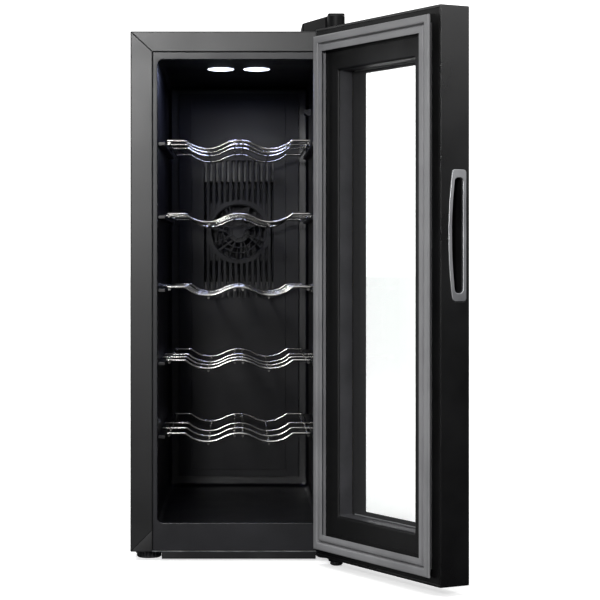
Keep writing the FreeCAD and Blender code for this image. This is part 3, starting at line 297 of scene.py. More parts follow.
def grown(name, tree, seed, sharp=35, **sizes):
    """Run a tree on a seed mesh with its sizes set, and keep the plain mesh that it makes."""
    holder = mesh_object(name + "_seed", seed)
    growth = holder.modifiers.new("growth", "NODES")
    growth.node_group = tree
    for item in tree.interface.items_tree:
        if item.in_out == "INPUT" and item.name.replace(" ", "_") in sizes:
            growth[item.identifier] = sizes[item.name.replace(" ", "_")]
    grown_holder = holder.evaluated_get(bpy.context.evaluated_depsgraph_get())
    mesh = bpy.data.meshes.new_from_object(grown_holder)
    bpy.data.objects.remove(holder)
    mesh.name = name
    mesh.shade_smooth()
    mesh.set_sharp_from_angle(angle=math.radians(sharp))
    return mesh_object(name, mesh)


rib_tree, given = tree_of("ribs round an edge", {"Ribs": "Int", "Edge Radius": "Float",
                                                 "Rib Radius": "Float", "Rib Height": "Float",
                                                 "Centre": "Vector"})
edge = add(rib_tree, "GeometryNodeMeshCircle",
           {"Vertices": given["Ribs"], "Radius": given["Edge Radius"]})
rib = add(rib_tree, "GeometryNodeMeshCylinder",
          {"Vertices": 8, "Radius": given["Rib Radius"], "Depth": given["Rib Height"]})
placed = add(rib_tree, "GeometryNodeTransform",
             {"Geometry": edge.outputs["Mesh"], "Translation": given["Centre"]})
ribs = add(rib_tree, "GeometryNodeInstanceOnPoints",
           {"Points": placed.outputs["Geometry"], "Instance": rib.outputs["Mesh"]})
ribbed = add(rib_tree, "GeometryNodeJoinGeometry",
             {"Geometry": [ribs.outputs["Instances"], given["Geometry"]]})
end_tree(rib_tree, ribbed.outputs["Geometry"], given["Finish"])

for node_name in ("foot_front_left", "foot_front_right", "foot_back_left", "foot_back_right",
                  "bottom_hinge_foot"):
    low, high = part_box(node_name)
    radius, top = (high.x - low.x) / 2, min(high.z, PAD_TALL)
    centre = Vector(((low.x + high.x) / 2, (low.y + high.y) / 2, low.z))
    rim = radius - FOOT_RIB
    turned = bmesh.new()
    outline = [(0, 0), (rim - 0.0015, 0)]
    outline += round_in((rim - PAD_ROUND, PAD_ROUND), PAD_ROUND, -90, 0)
    outline += round_in((rim - PAD_ROUND, top - PAD_ROUND), PAD_ROUND, 0, 90)
    outline += [(STUD_RADIUS + 0.0005, top), (STUD_RADIUS, top + 0.0004),
                (STUD_RADIUS, high.z - low.z), (0, high.z - low.z)]
    lathe(turned, outline if high.z > top + 0.001 else outline[:-3] + [(0, top)], centre)
    pad = mesh_of(node_name + "_pad", turned, lit_foot_nylon)
    foot = grown(node_name + "_ribbed", rib_tree, pad.data, Finish=lit_foot_nylon,
                 Ribs=round(2 * math.pi * rim / FOOT_RIB_PITCH), Edge_Radius=rim,
                 Rib_Radius=FOOT_RIB, Rib_Height=top - 2 * PAD_ROUND,
                 Centre=centre + Vector((0, 0, top / 2)))
    bpy.data.objects.remove(pad)
    stands_for(foot, node_name)

# ---- Base plate and plinth ----
# The base plate and the sheet behind the foam are galvanised steel, and a shallow tray of black
# ABS, cut away at its corners for the feet, clips under the plate as a plinth.


def dress(material, *names):
    """Give CAD nodes a finish through their own material slots."""
    for name in names:
        piece = frame["nodes"][name]
        if not piece.material_slots:
            piece.data.materials.append(material)
        for place in piece.material_slots:
            place.material = material


def kept_shape(piece, kind, **settings):
    """Run one modifier on a piece and keep the plain mesh that it makes."""
    step = piece.modifiers.new("step", kind)
    for name, value in settings.items():
        setattr(step, name, value)
    shape = bpy.data.meshes.new_from_object(
        piece.evaluated_get(bpy.context.evaluated_depsgraph_get()))
    piece.modifiers.remove(step)
    piece.data = shape
    return piece


def evened(piece, sharp=35):
    """Keep flat faces flat beside a rounded edge: each corner's normal follows its largest face."""
    piece.data.set_sharp_from_angle(angle=math.radians(sharp))
    return kept_shape(piece, "WEIGHTED_NORMAL", weight=100, keep_sharp=True)


def eased(node, width, material, steps=2, sharp=30):
    """A CAD node's shape again, with its sharp edges broken as a mould or a press leaves them."""
    bm = bmesh.new()
    bm.from_mesh(frame["nodes"][node].data)
    bmesh.ops.remove_doubles(bm, verts=bm.verts, dist=2e-6)
    bmesh.ops.dissolve_limit(bm, angle_limit=math.radians(0.5), verts=bm.verts, edges=bm.edges)
    corners = [e for e in bm.edges if len(e.link_faces) == 2
               and e.calc_face_angle(0) > math.radians(sharp)]
    bmesh.ops.bevel(bm, geom=corners, offset=width, offset_type="OFFSET", segments=steps,
                    profile=0.5, affect="EDGES", clamp_overlap=False)
    return evened(mesh_of(node + "_eased", bm, material, outward=False))


def recast(node, width, material, **settings):
    """Put a CAD node's eased shape in its place."""
    return stands_for(eased(node, width, material, **settings), node)


# Textured black ABS: a spark-eroded mould leaves a fine matt grain that greys the highlights.
black_abs = finish_of("spark textured black ABS", "#141415", IOR=1.53)
drift(black_abs, 0.03, ("#121213", "#181819"), (0.38, 0.46))
relief(black_abs, 0.0006, 0.00002)

# Galvanised steel: the zinc freezes in flakes a few millimetres wide, some bright and some dull.
galvanised = finish_of("galvanised steel", "#9a9c9e", Metallic=1.0)
drift(galvanised, 0.009, ("#888b8e", "#adafb1"), (0.34, 0.52))
dress(galvanised, "base_plate", "back_partition")
recast("plinth", 0.0006, black_abs)

# ---- Cabinet shell ----
# One steel sheet folded over both sides and the top, with a flange turned in round the mouth and
# mitred at its corners, then powder coated in a satin charcoal. Black fill at the mitres' floor is
# painted shade.

SEAM_WIDE = 0.0012
SEAM_DEEP = 0.0007
FLANGE_SIDE = 0.026
FLANGE_TOP = 0.024

# Powder coat: it flows before it sets, which leaves an orange peel about a millimetre across.
powder_coat = finish_of("satin charcoal powder coat", "#1d1d1e", IOR=1.5)
drift(powder_coat, 0.08, ("#1b1b1c", "#202021"), (0.34, 0.39))
relief(powder_coat, 0.0012, 0.000012)


def skin_between(bm, rings, closed=False):
    """Faces from each ring of points to the next."""
    pairs = list(zip(rings, rings[1:])) + ([(rings[-1], rings[0])] if closed else [])
    for first, second in pairs:
        for i in range(len(first)):
            j = (i + 1) % len(first)
            bm.faces.new((first[i], first[j], second[j], second[i]))


def prism(bm, rings):
    """A closed solid through rings of points, flat at both ends."""
    skin_between(bm, rings)
    bm.faces.new(rings[0])
    bm.faces.new(rings[-1])


def seam_bar(bm, start, end, wide, depths):
    """A bar along a seam in the face that looks towards -Y, between two depths."""
    run = end - start
    across = Vector((-run.z, 0, run.x)).normalized() * wide / 2
    prism(bm, [[bm.verts.new(p + Vector((0, depth, 0)))
                for p in (start + across, start - across, end - across, end + across)]
               for depth in depths])


def cut_line(piece, start, end, wide, deep):
    """Sink a straight seam into a piece."""
    bar = bmesh.new()
    seam_bar(bar, start, end, wide, (-deep, deep))
    tool = mesh_of("seam_tool", bar, piece.data.materials[0])
    kept_shape(piece, "BOOLEAN", object=tool, solver="EXACT")
    bpy.data.objects.remove(tool)


# Butyl: a matt black that swallows light, with a slightly lumpy surface. In the mitre grooves it is
# painted shade.
butyl_and_seam_shade = finish_of("black butyl sealant", "#040405", IOR=1.3)
drift(butyl_and_seam_shade, 0.01, ("#030304", "#070708"), (0.6, 0.7))
relief(butyl_and_seam_shade, 0.002, 0.00006)

shell = eased("outer_shell", 0.0004, powder_coat)
# Black bars at the bottom of the mitre grooves: painted shade for the dark seams.
shade_beads = bmesh.new()
for side in (-1, 1):
    outside = shell_high.x - 0.0006
    for start, end, wide in (
            ((outside, shell_high.z - 0.0006), (shell_high.x - FLANGE_SIDE,
                                                shell_high.z - FLANGE_TOP), SEAM_WIDE),
            ((outside, shell_low.z + 0.0006), (shell_high.x - FLANGE_SIDE,
                                               shell_low.z + FLANGE_SIDE), SEAM_WIDE / 2)):
        ends = [Vector((side * x, mouth_y, z)) for x, z in (start, end)]
        beyond = (ends[1] - ends[0]) * 0.1
        cut_line(shell, ends[0] - beyond * 0.5, ends[1] + beyond, wide, SEAM_DEEP)
        seam_bar(shade_beads, *ends, wide, (SEAM_DEEP * 0.4, SEAM_DEEP))
stands_for(evened(shell), "outer_shell")
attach(mesh_of("seam_beads", shade_beads, butyl_and_seam_shade), "cabinet")

# ---- Liner ----
# The cold room is a tub vacuum formed from satin black ABS sheet. Its lip turns out round the
# mouth, level with the flange and a little inside it, and black tape closes the gap.

ROOM_HALF = 0.097
ROOM_LOW = 0.0458
ROOM_HIGH = 0.6008
ROOM_ROUND = 0.006
ROOM_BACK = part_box("fan_cover")[1].y
LIP_GAP = 0.0012
SHEET_THICK = 0.0015
WELL_HALF = 0.056
WELL_TALL_HALF = 0.070
PUMP_Z = 0.400

# Vacuum formed ABS: satin, and the drawn sheet ripples a little over some centimetres.
liner_abs = finish_of("vacuum formed satin black ABS", "#0b0b0e", IOR=1.5)
drift(liner_abs, 0.06, ("#0a0a0d", "#0e0e12"), (0.32, 0.38))
relief(liner_abs, 0.03, 0.00012, detail=1.0)

# The lip: the tub's own ABS, painted paler where light falls on it round the mouth: painted
# highlight.
lit_lip_abs = finish_of("liner ABS painted paler as lit", "#1d1d21", IOR=1.5)
drift(lit_lip_abs, 0.05, ("#1a1a1e", "#202025"), (0.36, 0.42))
relief(lit_lip_abs, 0.0009, 0.00002)


def rounded_loop(bm, half, low, high, radius, y, steps=6):
    """A ring of points round an upright rectangle with round corners, on the plane at y."""
    points = []
    for x, z, start in ((half - radius, high - radius, 0), (radius - half, high - radius, 90),
                        (radius - half, low + radius, 180), (half - radius, low + radius, 270)):
        points += round_in((x, z), radius, start, start + 90, steps)
    return [bm.verts.new((x, y, z)) for x, z in points]


def show_side(bm, face, way):
    """Turn a sheet's faces one way over, so that a given face looks along a given way."""
    bmesh.ops.recalc_face_normals(bm, faces=bm.faces)
    if face.normal.dot(way) < 0:
        bmesh.ops.reverse_faces(bm, faces=bm.faces)


liner_low, liner_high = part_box("inner_liner")
lip_half = shell_high.x - FLANGE_SIDE - LIP_GAP
lip_high = shell_high.z - FLANGE_TOP - LIP_GAP
tub = bmesh.new()
tub_rings = [
    rounded_loop(tub, lip_half + 0.008, liner_low.z + 0.0004, lip_high + 0.008, 0.0005,
                 mouth_y + 0.0012),
    rounded_loop(tub, lip_half, liner_low.z + 0.0006, lip_high, 0.0006, mouth_y + 0.0012),
    rounded_loop(tub, lip_half, liner_low.z + 0.0006, lip_high, 0.0006, mouth_y + 0.0004),
    rounded_loop(tub, lip_half - 0.0004, liner_low.z + 0.001, lip_high - 0.0004, 0.0006, mouth_y),
]
for inset, depth in ((0.0012, 0.0), (0.0006, 0.0002), (0.0002, 0.0007), (0.0, 0.0016)):
    tub_rings.append(rounded_loop(tub, ROOM_HALF + inset, ROOM_LOW - inset, ROOM_HIGH + inset,
                                  ROOM_ROUND + inset, mouth_y + depth))
for inset, depth in ((0.0, 0.006), (0.0012, 0.0024), (0.004, 0.0)):
    tub_rings.append(rounded_loop(tub, ROOM_HALF - inset, ROOM_LOW + inset, ROOM_HIGH - inset,
                                  ROOM_ROUND, ROOM_BACK - depth))
for depth in (0.0, liner_high.y - ROOM_BACK - 0.002):
    tub_rings.append(rounded_loop(tub, WELL_HALF, PUMP_Z - WELL_TALL_HALF,
                                  PUMP_Z + WELL_TALL_HALF, 0.002, ROOM_BACK + depth))
skin_between(tub, tub_rings)
show_side(tub, tub.faces.new(tub_rings[-1]), Vector((0, -1, 0)))
# The front faces, the lip, take the paler painted-highlight copy of the ABS.
for face in tub.faces:
    face.material_index = 1 if face.calc_center_median().y < mouth_y + 0.0003 else 0
liner = mesh_of("liner_tub", tub, liner_abs, outward=False)
liner.data.materials.append(lit_lip_abs)
stands_for(evened(kept_shape(liner, "SOLIDIFY", thickness=SHEET_THICK, offset=-1)),
           "inner_liner")

tape = bmesh.new()
tape_rings = [rounded_loop(tape, lip_half + reach, liner_low.z + 0.001, lip_high + reach, 0.0005,
                           mouth_y + depth)
              for reach, depth in ((0.0001, 0.0005), (LIP_GAP - 0.0001, 0.0005),
                                   (LIP_GAP - 0.0001, 0.0011), (0.0001, 0.0011))]
skin_between(tape, tape_rings, closed=True)
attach(mesh_of("lip_tape", tape, butyl_and_seam_shade), "cabinet")

# ---- Runners and insulation ----
# Ten black ABS strips are clipped to the walls for the racks to slide on. Polyurethane foam,
# poured as a liquid, fills the walls of the cabinet and of the door.

recast("rack_runners", 0.0004, liner_abs)

# Polyurethane foam: a straw-coloured mass of closed cells, coarser than the real half millimetre.
foam = finish_of("rigid polyurethane foam", "#d9cfa6")
drift(foam, 0.02, ("#d2c697", "#e0d7b2"), (0.9, 0.98))
relief(foam, 0.0022, 0.0004)
dress(foam, "insulation_foam", "door_foam")

# ---- Fan cover ----
# A flat tray of charcoal ABS screwed over the cold plate, with a raised field, upright slots
# above and below, and a ringed guard in front of the fan.

# Moulded ABS: satin, a shade lighter than the liner, so that its raised field shows.
cover_abs = finish_of("satin charcoal ABS", "#0d0d11", IOR=1.36)
drift(cover_abs, 0.05, ("#0c0c10", "#111116"), (0.44, 0.52))
relief(cover_abs, 0.0008, 0.00002)
recast("fan_cover", 0.00035, cover_abs)
dress(cover_abs, "cold_fan_frame", "cold_fan_rotor", "hot_fan_frame", "hot_fan_rotor")

# ---- Heat pump ----
# A thermoelectric module squeezed between an aluminium block on the cold plate and the finned
# hot plate. The plates are extruded, which draws fine lines along the fins.

# Extruded aluminium: die lines run up the fins, less than a millimetre apart.
aluminium = finish_of("extruded aluminium", "#c5c7ca", Metallic=1.0)
drift(aluminium, 0.03, ("#bcbec2", "#cdcfd1"), (0.30, 0.42))
relief(aluminium, 0.0007, 0.00003, stretch=(1, 1, 0.03))
dress(aluminium, "hot_heat_sink", "cold_block")

# Black anodising: a thin dyed oxide that keeps a metallic sheen on the cold plate's fins.
anodised = finish_of("black anodised aluminium", "#141416", Metallic=0.6)
drift(anodised, 0.02, ("#111113", "#19191c"), (0.38, 0.46))
relief(anodised, 0.0007, 0.00003, stretch=(1, 1, 0.03))
dress(anodised, "cold_heat_sink")

# Alumina: fired white plates, smooth and slightly glazed, with faint cloudy patches.
alumina = finish_of("fired alumina", "#ececea", IOR=1.7)
drift(alumina, 0.008, ("#e6e6e3", "#f2f2f0"), (0.28, 0.4))
dress(alumina, "thermoelectric_module")

# Solder mask: a glossy green lacquer that dips between the copper tracks, here 2 mm apart.
solder_mask = finish_of("green solder mask", "#134d2c", IOR=1.5)
drift(solder_mask, 0.003, ("#0f4326", "#1a5c37"), (0.22, 0.34))
relief(solder_mask, 0.002, 0.00004, detail=0.0)
dress(solder_mask, "power_supply_board", "control_board", "lamp_board", "touch_board")
dress(cover_abs, "lamp_housing", "temperature_probe")

# ---- Lamps ----
# Two oval lenses of frosted acrylic, domed and snapped into the ceiling, each lit from above by
# a cold-white light-emitting chip.

LENS_STEPS = 40
LENS_RINGS = 7
LENS_DOME = 0.5

# Frosted acrylic: the light scatters inside it, so the whole lens glows evenly.
acrylic = finish_of("frosted acrylic", "#f4f8ff", Roughness=0.35, IOR=1.49,
                    Emission_Color=linear("#e6eeff"), Emission_Strength=3.0)
relief(acrylic, 0.0006, 0.00003)

for side in ("left", "right"):
    low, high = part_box(f"lamp_lens_{side}")
    centre, half_x, half_y = (low + high) / 2, (high.x - low.x) / 2, (high.y - low.y) / 2
    drop = (ROOM_HIGH - low.z) * LENS_DOME
    dome = bmesh.new()
    dome_rings = []
    for ring in range(1, LENS_RINGS + 1):
        reach = ring / LENS_RINGS
        height = ROOM_HIGH - 0.0003 - drop * math.sqrt(1 - reach ** 2)
        dome_rings.append([dome.verts.new((centre.x + half_x * reach * math.cos(a),
                                           centre.y + half_y * reach * math.sin(a), height))
                           for a in [2 * math.pi * i / LENS_STEPS for i in range(LENS_STEPS)]])
    dome_rings.append([dome.verts.new((v.co.x, v.co.y, ROOM_HIGH)) for v in dome_rings[-1]])
    prism(dome, dome_rings)
    stands_for(mesh_of(f"lamp_dome_{side}", dome, acrylic), f"lamp_lens_{side}")
    soft_box(f"lamp_{side}", (centre.x, centre.y, low.z - 0.001), (centre.x, centre.y, 0),
             (0.03, 0.04), 0.16, (0.50, 0.56, 1))

# ---- Wire racks ----
# Five racks of 3 mm steel wire: four cross wires bent into two bottle cradles each, welded on
# six straight wires that run front to back, and chromium plated.

WIRE = 0.003
CRADLE_X = 0.0385
CRADLE_DROP = 0.010
CRADLE_RADIUS = 0.038
BEND_RADIUS = 0.006
RACKS = 5
ROW_STEP = 0.075
ROWS = (0, 1, 2, 4)
END_SHORTER = 0.0084
RAIL_X = 0.084
WELD_SINK = 0.0004

# Chromium plate: a thin bright layer over drawn wire, a little soft from the wire's own grain.
chrome = finish_of("chromium plated wire", "#b2b1ae", Metallic=1.0)
drift(chrome, 0.02, ("#a8a7a3", "#bcbbb8"), (0.14, 0.20))

wire_tree, given = tree_of("wire along a path", {"Wire Radius": "Float", "Sides": "Int"})
line = add(wire_tree, "GeometryNodeMeshToCurve", {"Mesh": given["Geometry"]})
section = add(wire_tree, "GeometryNodeCurvePrimitiveCircle",
              {"Resolution": given["Sides"], "Radius": given["Wire Radius"]})
drawn = add(wire_tree, "GeometryNodeCurveToMesh",
            {"Curve": line.outputs["Curve"], "Profile Curve": section.outputs["Curve"],
             "Fill Caps": True})
end_tree(wire_tree, drawn.outputs["Mesh"], given["Finish"])


def cradle_line(half, steps=10):
    """The bent centre line: a hump between two cradles, then a shoulder out to each end."""
    hump = (CRADLE_X ** 2 + CRADLE_DROP ** 2) / (2 * CRADLE_DROP) - CRADLE_RADIUS
    reach = CRADLE_RADIUS + BEND_RADIUS
    shoulder = CRADLE_X + math.sqrt(reach ** 2 - (reach - CRADLE_DROP) ** 2)
    cradle_z = CRADLE_RADIUS - CRADLE_DROP
    lean_in = math.degrees(math.asin(CRADLE_X / (hump + CRADLE_RADIUS)))
    lean_out = math.degrees(math.asin((shoulder - CRADLE_X) / reach))
    right = round_in((0, -hump), hump, 90, 90 - lean_in, steps)
    right += round_in((CRADLE_X, cradle_z), CRADLE_RADIUS, 270 - lean_in, 270 + lean_out,
                      2 * steps)[1:]
    right += round_in((shoulder, -BEND_RADIUS), BEND_RADIUS, 90 + lean_out, 90, steps)[1:]
    right.append((half, 0))
    return [(-x, z) for x, z in reversed(right)] + right[1:]


for number in range(1, RACKS + 1):
    low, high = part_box(f"rack_{number}")
    long_half = high.x
    end_half = long_half - END_SHORTER
    wire_z, front, back = high.z - WIRE / 2, low.y + WIRE / 2, high.y - WIRE / 2
    under = WIRE - WELD_SINK
    runs = [[Vector((x, front + row * ROW_STEP, wire_z + z))
             for x, z in cradle_line(end_half if row in (ROWS[0], ROWS[-1]) else long_half)]
            for row in ROWS]
    for x, z in ((0.005, -under - 0.0003), (CRADLE_X - 0.002, -CRADLE_DROP - under),
                 (RAIL_X, -under)):
        for side in (-1, 1):
            runs.append([Vector((side * x, y, wire_z + z))
                         for y in (front, (front + back) / 2, back)])
    seed = bpy.data.meshes.new(f"rack_{number}_line")
    points, edges = [], []
    for run in runs:
        edges += [(len(points) + i, len(points) + i + 1) for i in range(len(run) - 1)]
        points += run
    seed.from_pydata(points, edges, [])
    rack = grown(f"rack_{number}_wires", wire_tree, seed, Finish=chrome, Wire_Radius=WIRE / 2,
                 Sides=14)
    stands_for(rack, f"rack_{number}")

# ---- Back of the cabinet ----
# A black painted steel sheet, screwed on, with fan slots and pressed louvres for the hot air. A
# three-pin mains inlet of black plastic is clipped through it, low on one side.

LOUVRE_WIDE = 0.050
LOUVRE_MOUTH = 0.0066
LOUVRE_LIP = 0.0006
LOUVRE_HOOD = 0.0022
LOUVRE_STEPS = 10
LOUVRE_BANDS = (0.090, 0.540)
LOUVRE_PITCH = 0.011
LOUVRE_COLUMN = 0.062

# Rear paint: one thin matt coat, duller than the powder coat of the sides.
rear_paint = finish_of("matt black sheet paint", "#161617")
drift(rear_paint, 0.07, ("#141415", "#19191a"), (0.55, 0.65))
relief(rear_paint, 0.0009, 0.00002)
recast("rear_cover", 0.00025, rear_paint)
recast("power_inlet", 0.0004, black_abs)

copy_tree, given = tree_of("copies on points", {"Copied": "Object", "Facing": "Rotation"})
shape = add(copy_tree, "GeometryNodeObjectInfo", {"Object": given["Copied"]})
copies = add(copy_tree, "GeometryNodeInstanceOnPoints",
             {"Points": given["Geometry"], "Instance": shape.outputs["Geometry"],
              "Rotation": given["Facing"]})
end_tree(copy_tree, copies.outputs["Instances"], given["Finish"])

pressing = bmesh.new()
sections = []
for i in range(LOUVRE_STEPS + 1):
    along = -LOUVRE_WIDE / 2 + LOUVRE_WIDE * i / LOUVRE_STEPS
    rise = LOUVRE_HOOD * min(1.0, math.sin(math.pi * i / LOUVRE_STEPS) * 1.8)
    sections.append([pressing.verts.new((along, rise * math.sin(math.pi / 2 * j / 5),
                                         LOUVRE_MOUTH - (LOUVRE_MOUTH - LOUVRE_LIP) * j / 5))
                     for j in range(6)])
for near, far in zip(sections, sections[1:]):
    for j in range(5):
        pressing.faces.new((near[j], near[j + 1], far[j + 1], far[j]))
hood = kept_shape(mesh_of("louvre_hood", pressing, rear_paint), "SOLIDIFY", thickness=0.0004,
                  offset=0)
back_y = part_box("rear_cover")[1].y
louvre_points = bpy.data.meshes.new("louvre_points")
louvre_points.from_pydata([(column * LOUVRE_COLUMN, back_y, band + row * LOUVRE_PITCH)
                           for band in LOUVRE_BANDS for row in range(4)
                           for column in (-1, 0, 1)], [], [])
louvres = grown("rear_louvres", copy_tree, louvre_points, Finish=rear_paint, Copied=hood)
bpy.data.objects.remove(hood)
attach(louvres, "cabinet")

# Nickelled brass: a warm white metal, bright where the connector rubs it.
nickel = finish_of("nickelled brass", "#c9bf9b", Metallic=1.0)
drift(nickel, 0.004, ("#bfb590", "#d3caaa"), (0.2, 0.32))
dress(nickel, "inlet_pins")

# ---- Screws ----
# Zinc-plated pan-head screws with a cross recess hold the back, the hinge arm and the lower
# bracket. Their heads are pressed cold, so they are smooth and domed.

HEAD_RADIUS = 0.0034
HEAD_TALL = 0.0018
RECESS_DEEP = 0.0011
SHANK_RADIUS = 0.0016

# Zinc plate: a grey-white metal with a faint cloudiness.
zinc = finish_of("zinc plated steel", "#8f9193", Metallic=1.0)
drift(zinc, 0.004, ("#84868a", "#9c9ea0"), (0.28, 0.42))


def pan_head(length):
    """One screw with its head up, its seat on the ground plane, and a cross sunk in the head."""
    bm = bmesh.new()
    outline = [(0, -length), (SHANK_RADIUS, -length), (SHANK_RADIUS, 0), (HEAD_RADIUS, 0),
               (HEAD_RADIUS, HEAD_TALL * 0.45), (HEAD_RADIUS * 0.86, HEAD_TALL * 0.82),
               (HEAD_RADIUS * 0.66, HEAD_TALL * 0.97)]
    rim = lathe(bm, outline, (0, 0, 0), 24)[-1]
    rings = [rim]
    for depth in (0.0, RECESS_DEEP):
        ring = []
        for v in rim:
            turn = math.atan2(v.co.y, v.co.x)
            arm = HEAD_RADIUS * (0.14 + 0.40 * abs(math.cos(2 * turn)) ** 3) * (1 - depth * 200)
            ring.append(bm.verts.new((arm * math.cos(turn), arm * math.sin(turn),
                                      HEAD_TALL - depth)))
        rings.append(ring)
    skin_between(bm, rings)
    bm.faces.new(rings[-1])
    return bm


def islands(node):
    """The separate solids of a node, each as its lowest and highest corner."""
    bm = bmesh.new()
    bm.from_mesh(frame["nodes"][node].data)
    bmesh.ops.remove_doubles(bm, verts=bm.verts, dist=2e-6)
    left, boxes = set(bm.verts), []
    while left:
        group, queue = set(), [left.pop()]
        while queue:
            vert = queue.pop()
            group.add(vert)
            fresh = {e.other_vert(vert) for e in vert.link_edges} & left
            left -= fresh
            queue += fresh
        axes = list(zip(*[v.co for v in group]))
        boxes.append((Vector([min(a) for a in axes]), Vector([max(a) for a in axes])))
    bm.free()
    return sorted(boxes, key=lambda box: tuple(box[0]))


for node_name, way in (("rear_screws", (0, 1, 0)), ("top_hinge_screws", (0, 0, 1)),
                       ("bottom_hinge_screws", (0, 0, -1))):
    facing = Vector(way)
    axis = [abs(c) for c in facing].index(1.0)
    seats = []
    for low, high in islands(node_name):
        seat = (low + high) / 2
        seat[axis] = high[axis] - HEAD_TALL if sum(facing) > 0 else low[axis] + HEAD_TALL
        seats.append(seat)
        length = high[axis] - low[axis] - HEAD_TALL
    seat_points = bpy.data.meshes.new(node_name + "_seats")
    seat_points.from_pydata(seats, [], [])
    screw = mesh_of("pan_head", pan_head(length), zinc)
    turn = Vector((0, 0, 1)).rotation_difference(facing).to_euler()
    group = grown(node_name + "_pressed", copy_tree, seat_points, Finish=zinc, Copied=screw,
                  Facing=turn)
    bpy.data.objects.remove(screw)
    stands_for(group, node_name)

# ---- Upper hinge ----
# A flat steel arm screwed to the cabinet's top, with the door's pin riveted in its nose. A cap of
# black polypropylene hides it: a low deck that slopes up to a round tower over the pin.

SLOPE = math.tan(math.radians(16.5))
DECK_LOW = 0.0092
DECK_HIGH = 0.0178
TOWER_TALL = 0.0150
TOWER_ROUND = 0.0025

hinge = next(j for j in frame["record"]["behaviour"]["joints"] if j["name"] == "door_hinge")
pin = Vector(hinge["pos_m"])
cap_low, cap_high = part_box("top_hinge_cover")
dress(zinc, "top_hinge_bracket")

# Bright steel: the pins are turned, which leaves rings a quarter of a millimetre apart.
bright_steel = finish_of("turned bright steel", "#a4a6a8", Metallic=1.0)
drift(bright_steel, 0.004, ("#9a9c9f", "#b0b2b4"), (0.2, 0.3))
relief(bright_steel, 0.0005, 0.00001, stretch=(0.1, 0.1, 2))
dress(bright_steel, "top_hinge_pin", "bottom_hinge_pin")

# Matt polypropylene: the cap's mould is sand blasted, and its waxy face stays dark.
cap_pp = finish_of("matt black polypropylene", "#0c0c0d", IOR=1.3)
drift(cap_pp, 0.02, ("#0a0a0b", "#101011"), (0.46, 0.54))
relief(cap_pp, 0.0007, 0.00003)


def rounded_outline(corners, radius, inset, steps=5):
    """A closed outline, given anticlockwise, moved inwards and with its corners rounded."""
    points = []
    for i, here in enumerate(corners):
        before, after = corners[i - 1], corners[(i + 1) % len(corners)]
        arriving, leaving = (here - before).normalized(), (after - here).normalized()
        inward = [Vector((-way.y, way.x)) for way in (arriving, leaving)]
        spot = here + (inward[0] + inward[1]) * inset / (1 + inward[0].dot(inward[1]))
        bend = 1 if arriving.x * leaving.y - arriving.y * leaving.x > 0 else -1
        r = max(radius - bend * inset, 0.0002)
        centre = spot + bend * r * (inward[0] + inward[1]) / (1 + inward[0].dot(inward[1]))
        start = -bend * inward[0]
        turn = bend * arriving.angle(leaving)
        for k in range(steps + 1):
            c, s = math.cos(turn * k / steps), math.sin(turn * k / steps)
            points.append(centre + r * Vector((start.x * c - start.y * s,
                                               start.x * s + start.y * c)))
    return points


def deck_top(x):
    """The deck's height at x: it slopes up from the cap's left end, then runs level."""
    return cap_low.z + min(DECK_LOW + (x - cap_low.x) * SLOPE, DECK_HIGH)


tower = pin.y - cap_low.y + 0.0005
neck_left, neck_right = pin.x - tower, pin.x + tower
corners = [Vector(p) for p in ((cap_low.x, mouth_y + 0.001), (neck_left, mouth_y + 0.001),
                               (neck_left, pin.y), (neck_right, pin.y),
                               (neck_right, cap_high.y), (cap_low.x, cap_high.y))]
cap = bmesh.new()
cap_rings = []
for inset, sink in ((0.0, None), (0.0, 0.0013), (0.0002, 0.0007), (0.0006, 0.0002),
                    (0.0013, 0)):
    cap_rings.append([cap.verts.new((p.x, p.y, cap_low.z if sink is None else
                                     deck_top(p.x) - sink))
                      for p in rounded_outline(corners, 0.003, inset)])
prism(cap, cap_rings)
lathe(cap, [(0, 0), (tower, 0), (tower, TOWER_TALL - TOWER_ROUND)]
      + round_in((tower - TOWER_ROUND, TOWER_TALL - TOWER_ROUND), TOWER_ROUND, 0, 90, 6)[1:]
      + [(tower * 0.4, TOWER_TALL + 0.0002), (0, TOWER_TALL + 0.0003)],
      (pin.x, pin.y, cap_low.z), 56)
stands_for(evened(mesh_of("hinge_cap", cap, cap_pp)), "top_hinge_cover")

# ---- Lower hinge ----
# A cranked arm of black painted steel bolted under the cabinet's corner, with a boss that carries
# the lower pin.

# Paint on steel: a thin satin black with soft edges where it pulls back.
hinge_paint = finish_of("satin black painted steel", "#1a1a1b", IOR=1.5)
drift(hinge_paint, 0.015, ("#18181a", "#212123"), (0.38, 0.46))
recast("bottom_hinge_bracket", 0.0004, hinge_paint)

# ---- Door frame ----
# The door's surround is one moulding of semi-gloss black ABS: sides, a web behind the glass, and
# a lip round it. Its edges are softly broken, and two nylon bushes are pressed in for the pins.

open_turn = math.radians(-hinge["range_deg"][0])
swung = (Matrix.Translation(Vector((pin.x, pin.y, 0))) @ Matrix.Rotation(open_turn, 4, "Z")
         @ Matrix.Translation(Vector((-pin.x, -pin.y, 0))))


def shut_box(node):
    """Where a door piece is with the door shut: its lowest and highest corner."""
    back = swung.inverted()
    spots = [back @ v.co for v in frame["nodes"][node].data.vertices]
    return (Vector([min(p[i] for p in spots) for i in range(3)]),
            Vector([max(p[i] for p in spots) for i in range(3)]))


# Door ABS: semi-gloss black, darker and smoother than the cabinet's coat.
door_abs = finish_of("semi-gloss black ABS", "#0f0f10", IOR=1.53)
drift(door_abs, 0.05, ("#0d0d0e", "#131314"), (0.27, 0.34))
relief(door_abs, 0.02, 0.00004, detail=1.0)
recast("door_frame", 0.0006, door_abs)

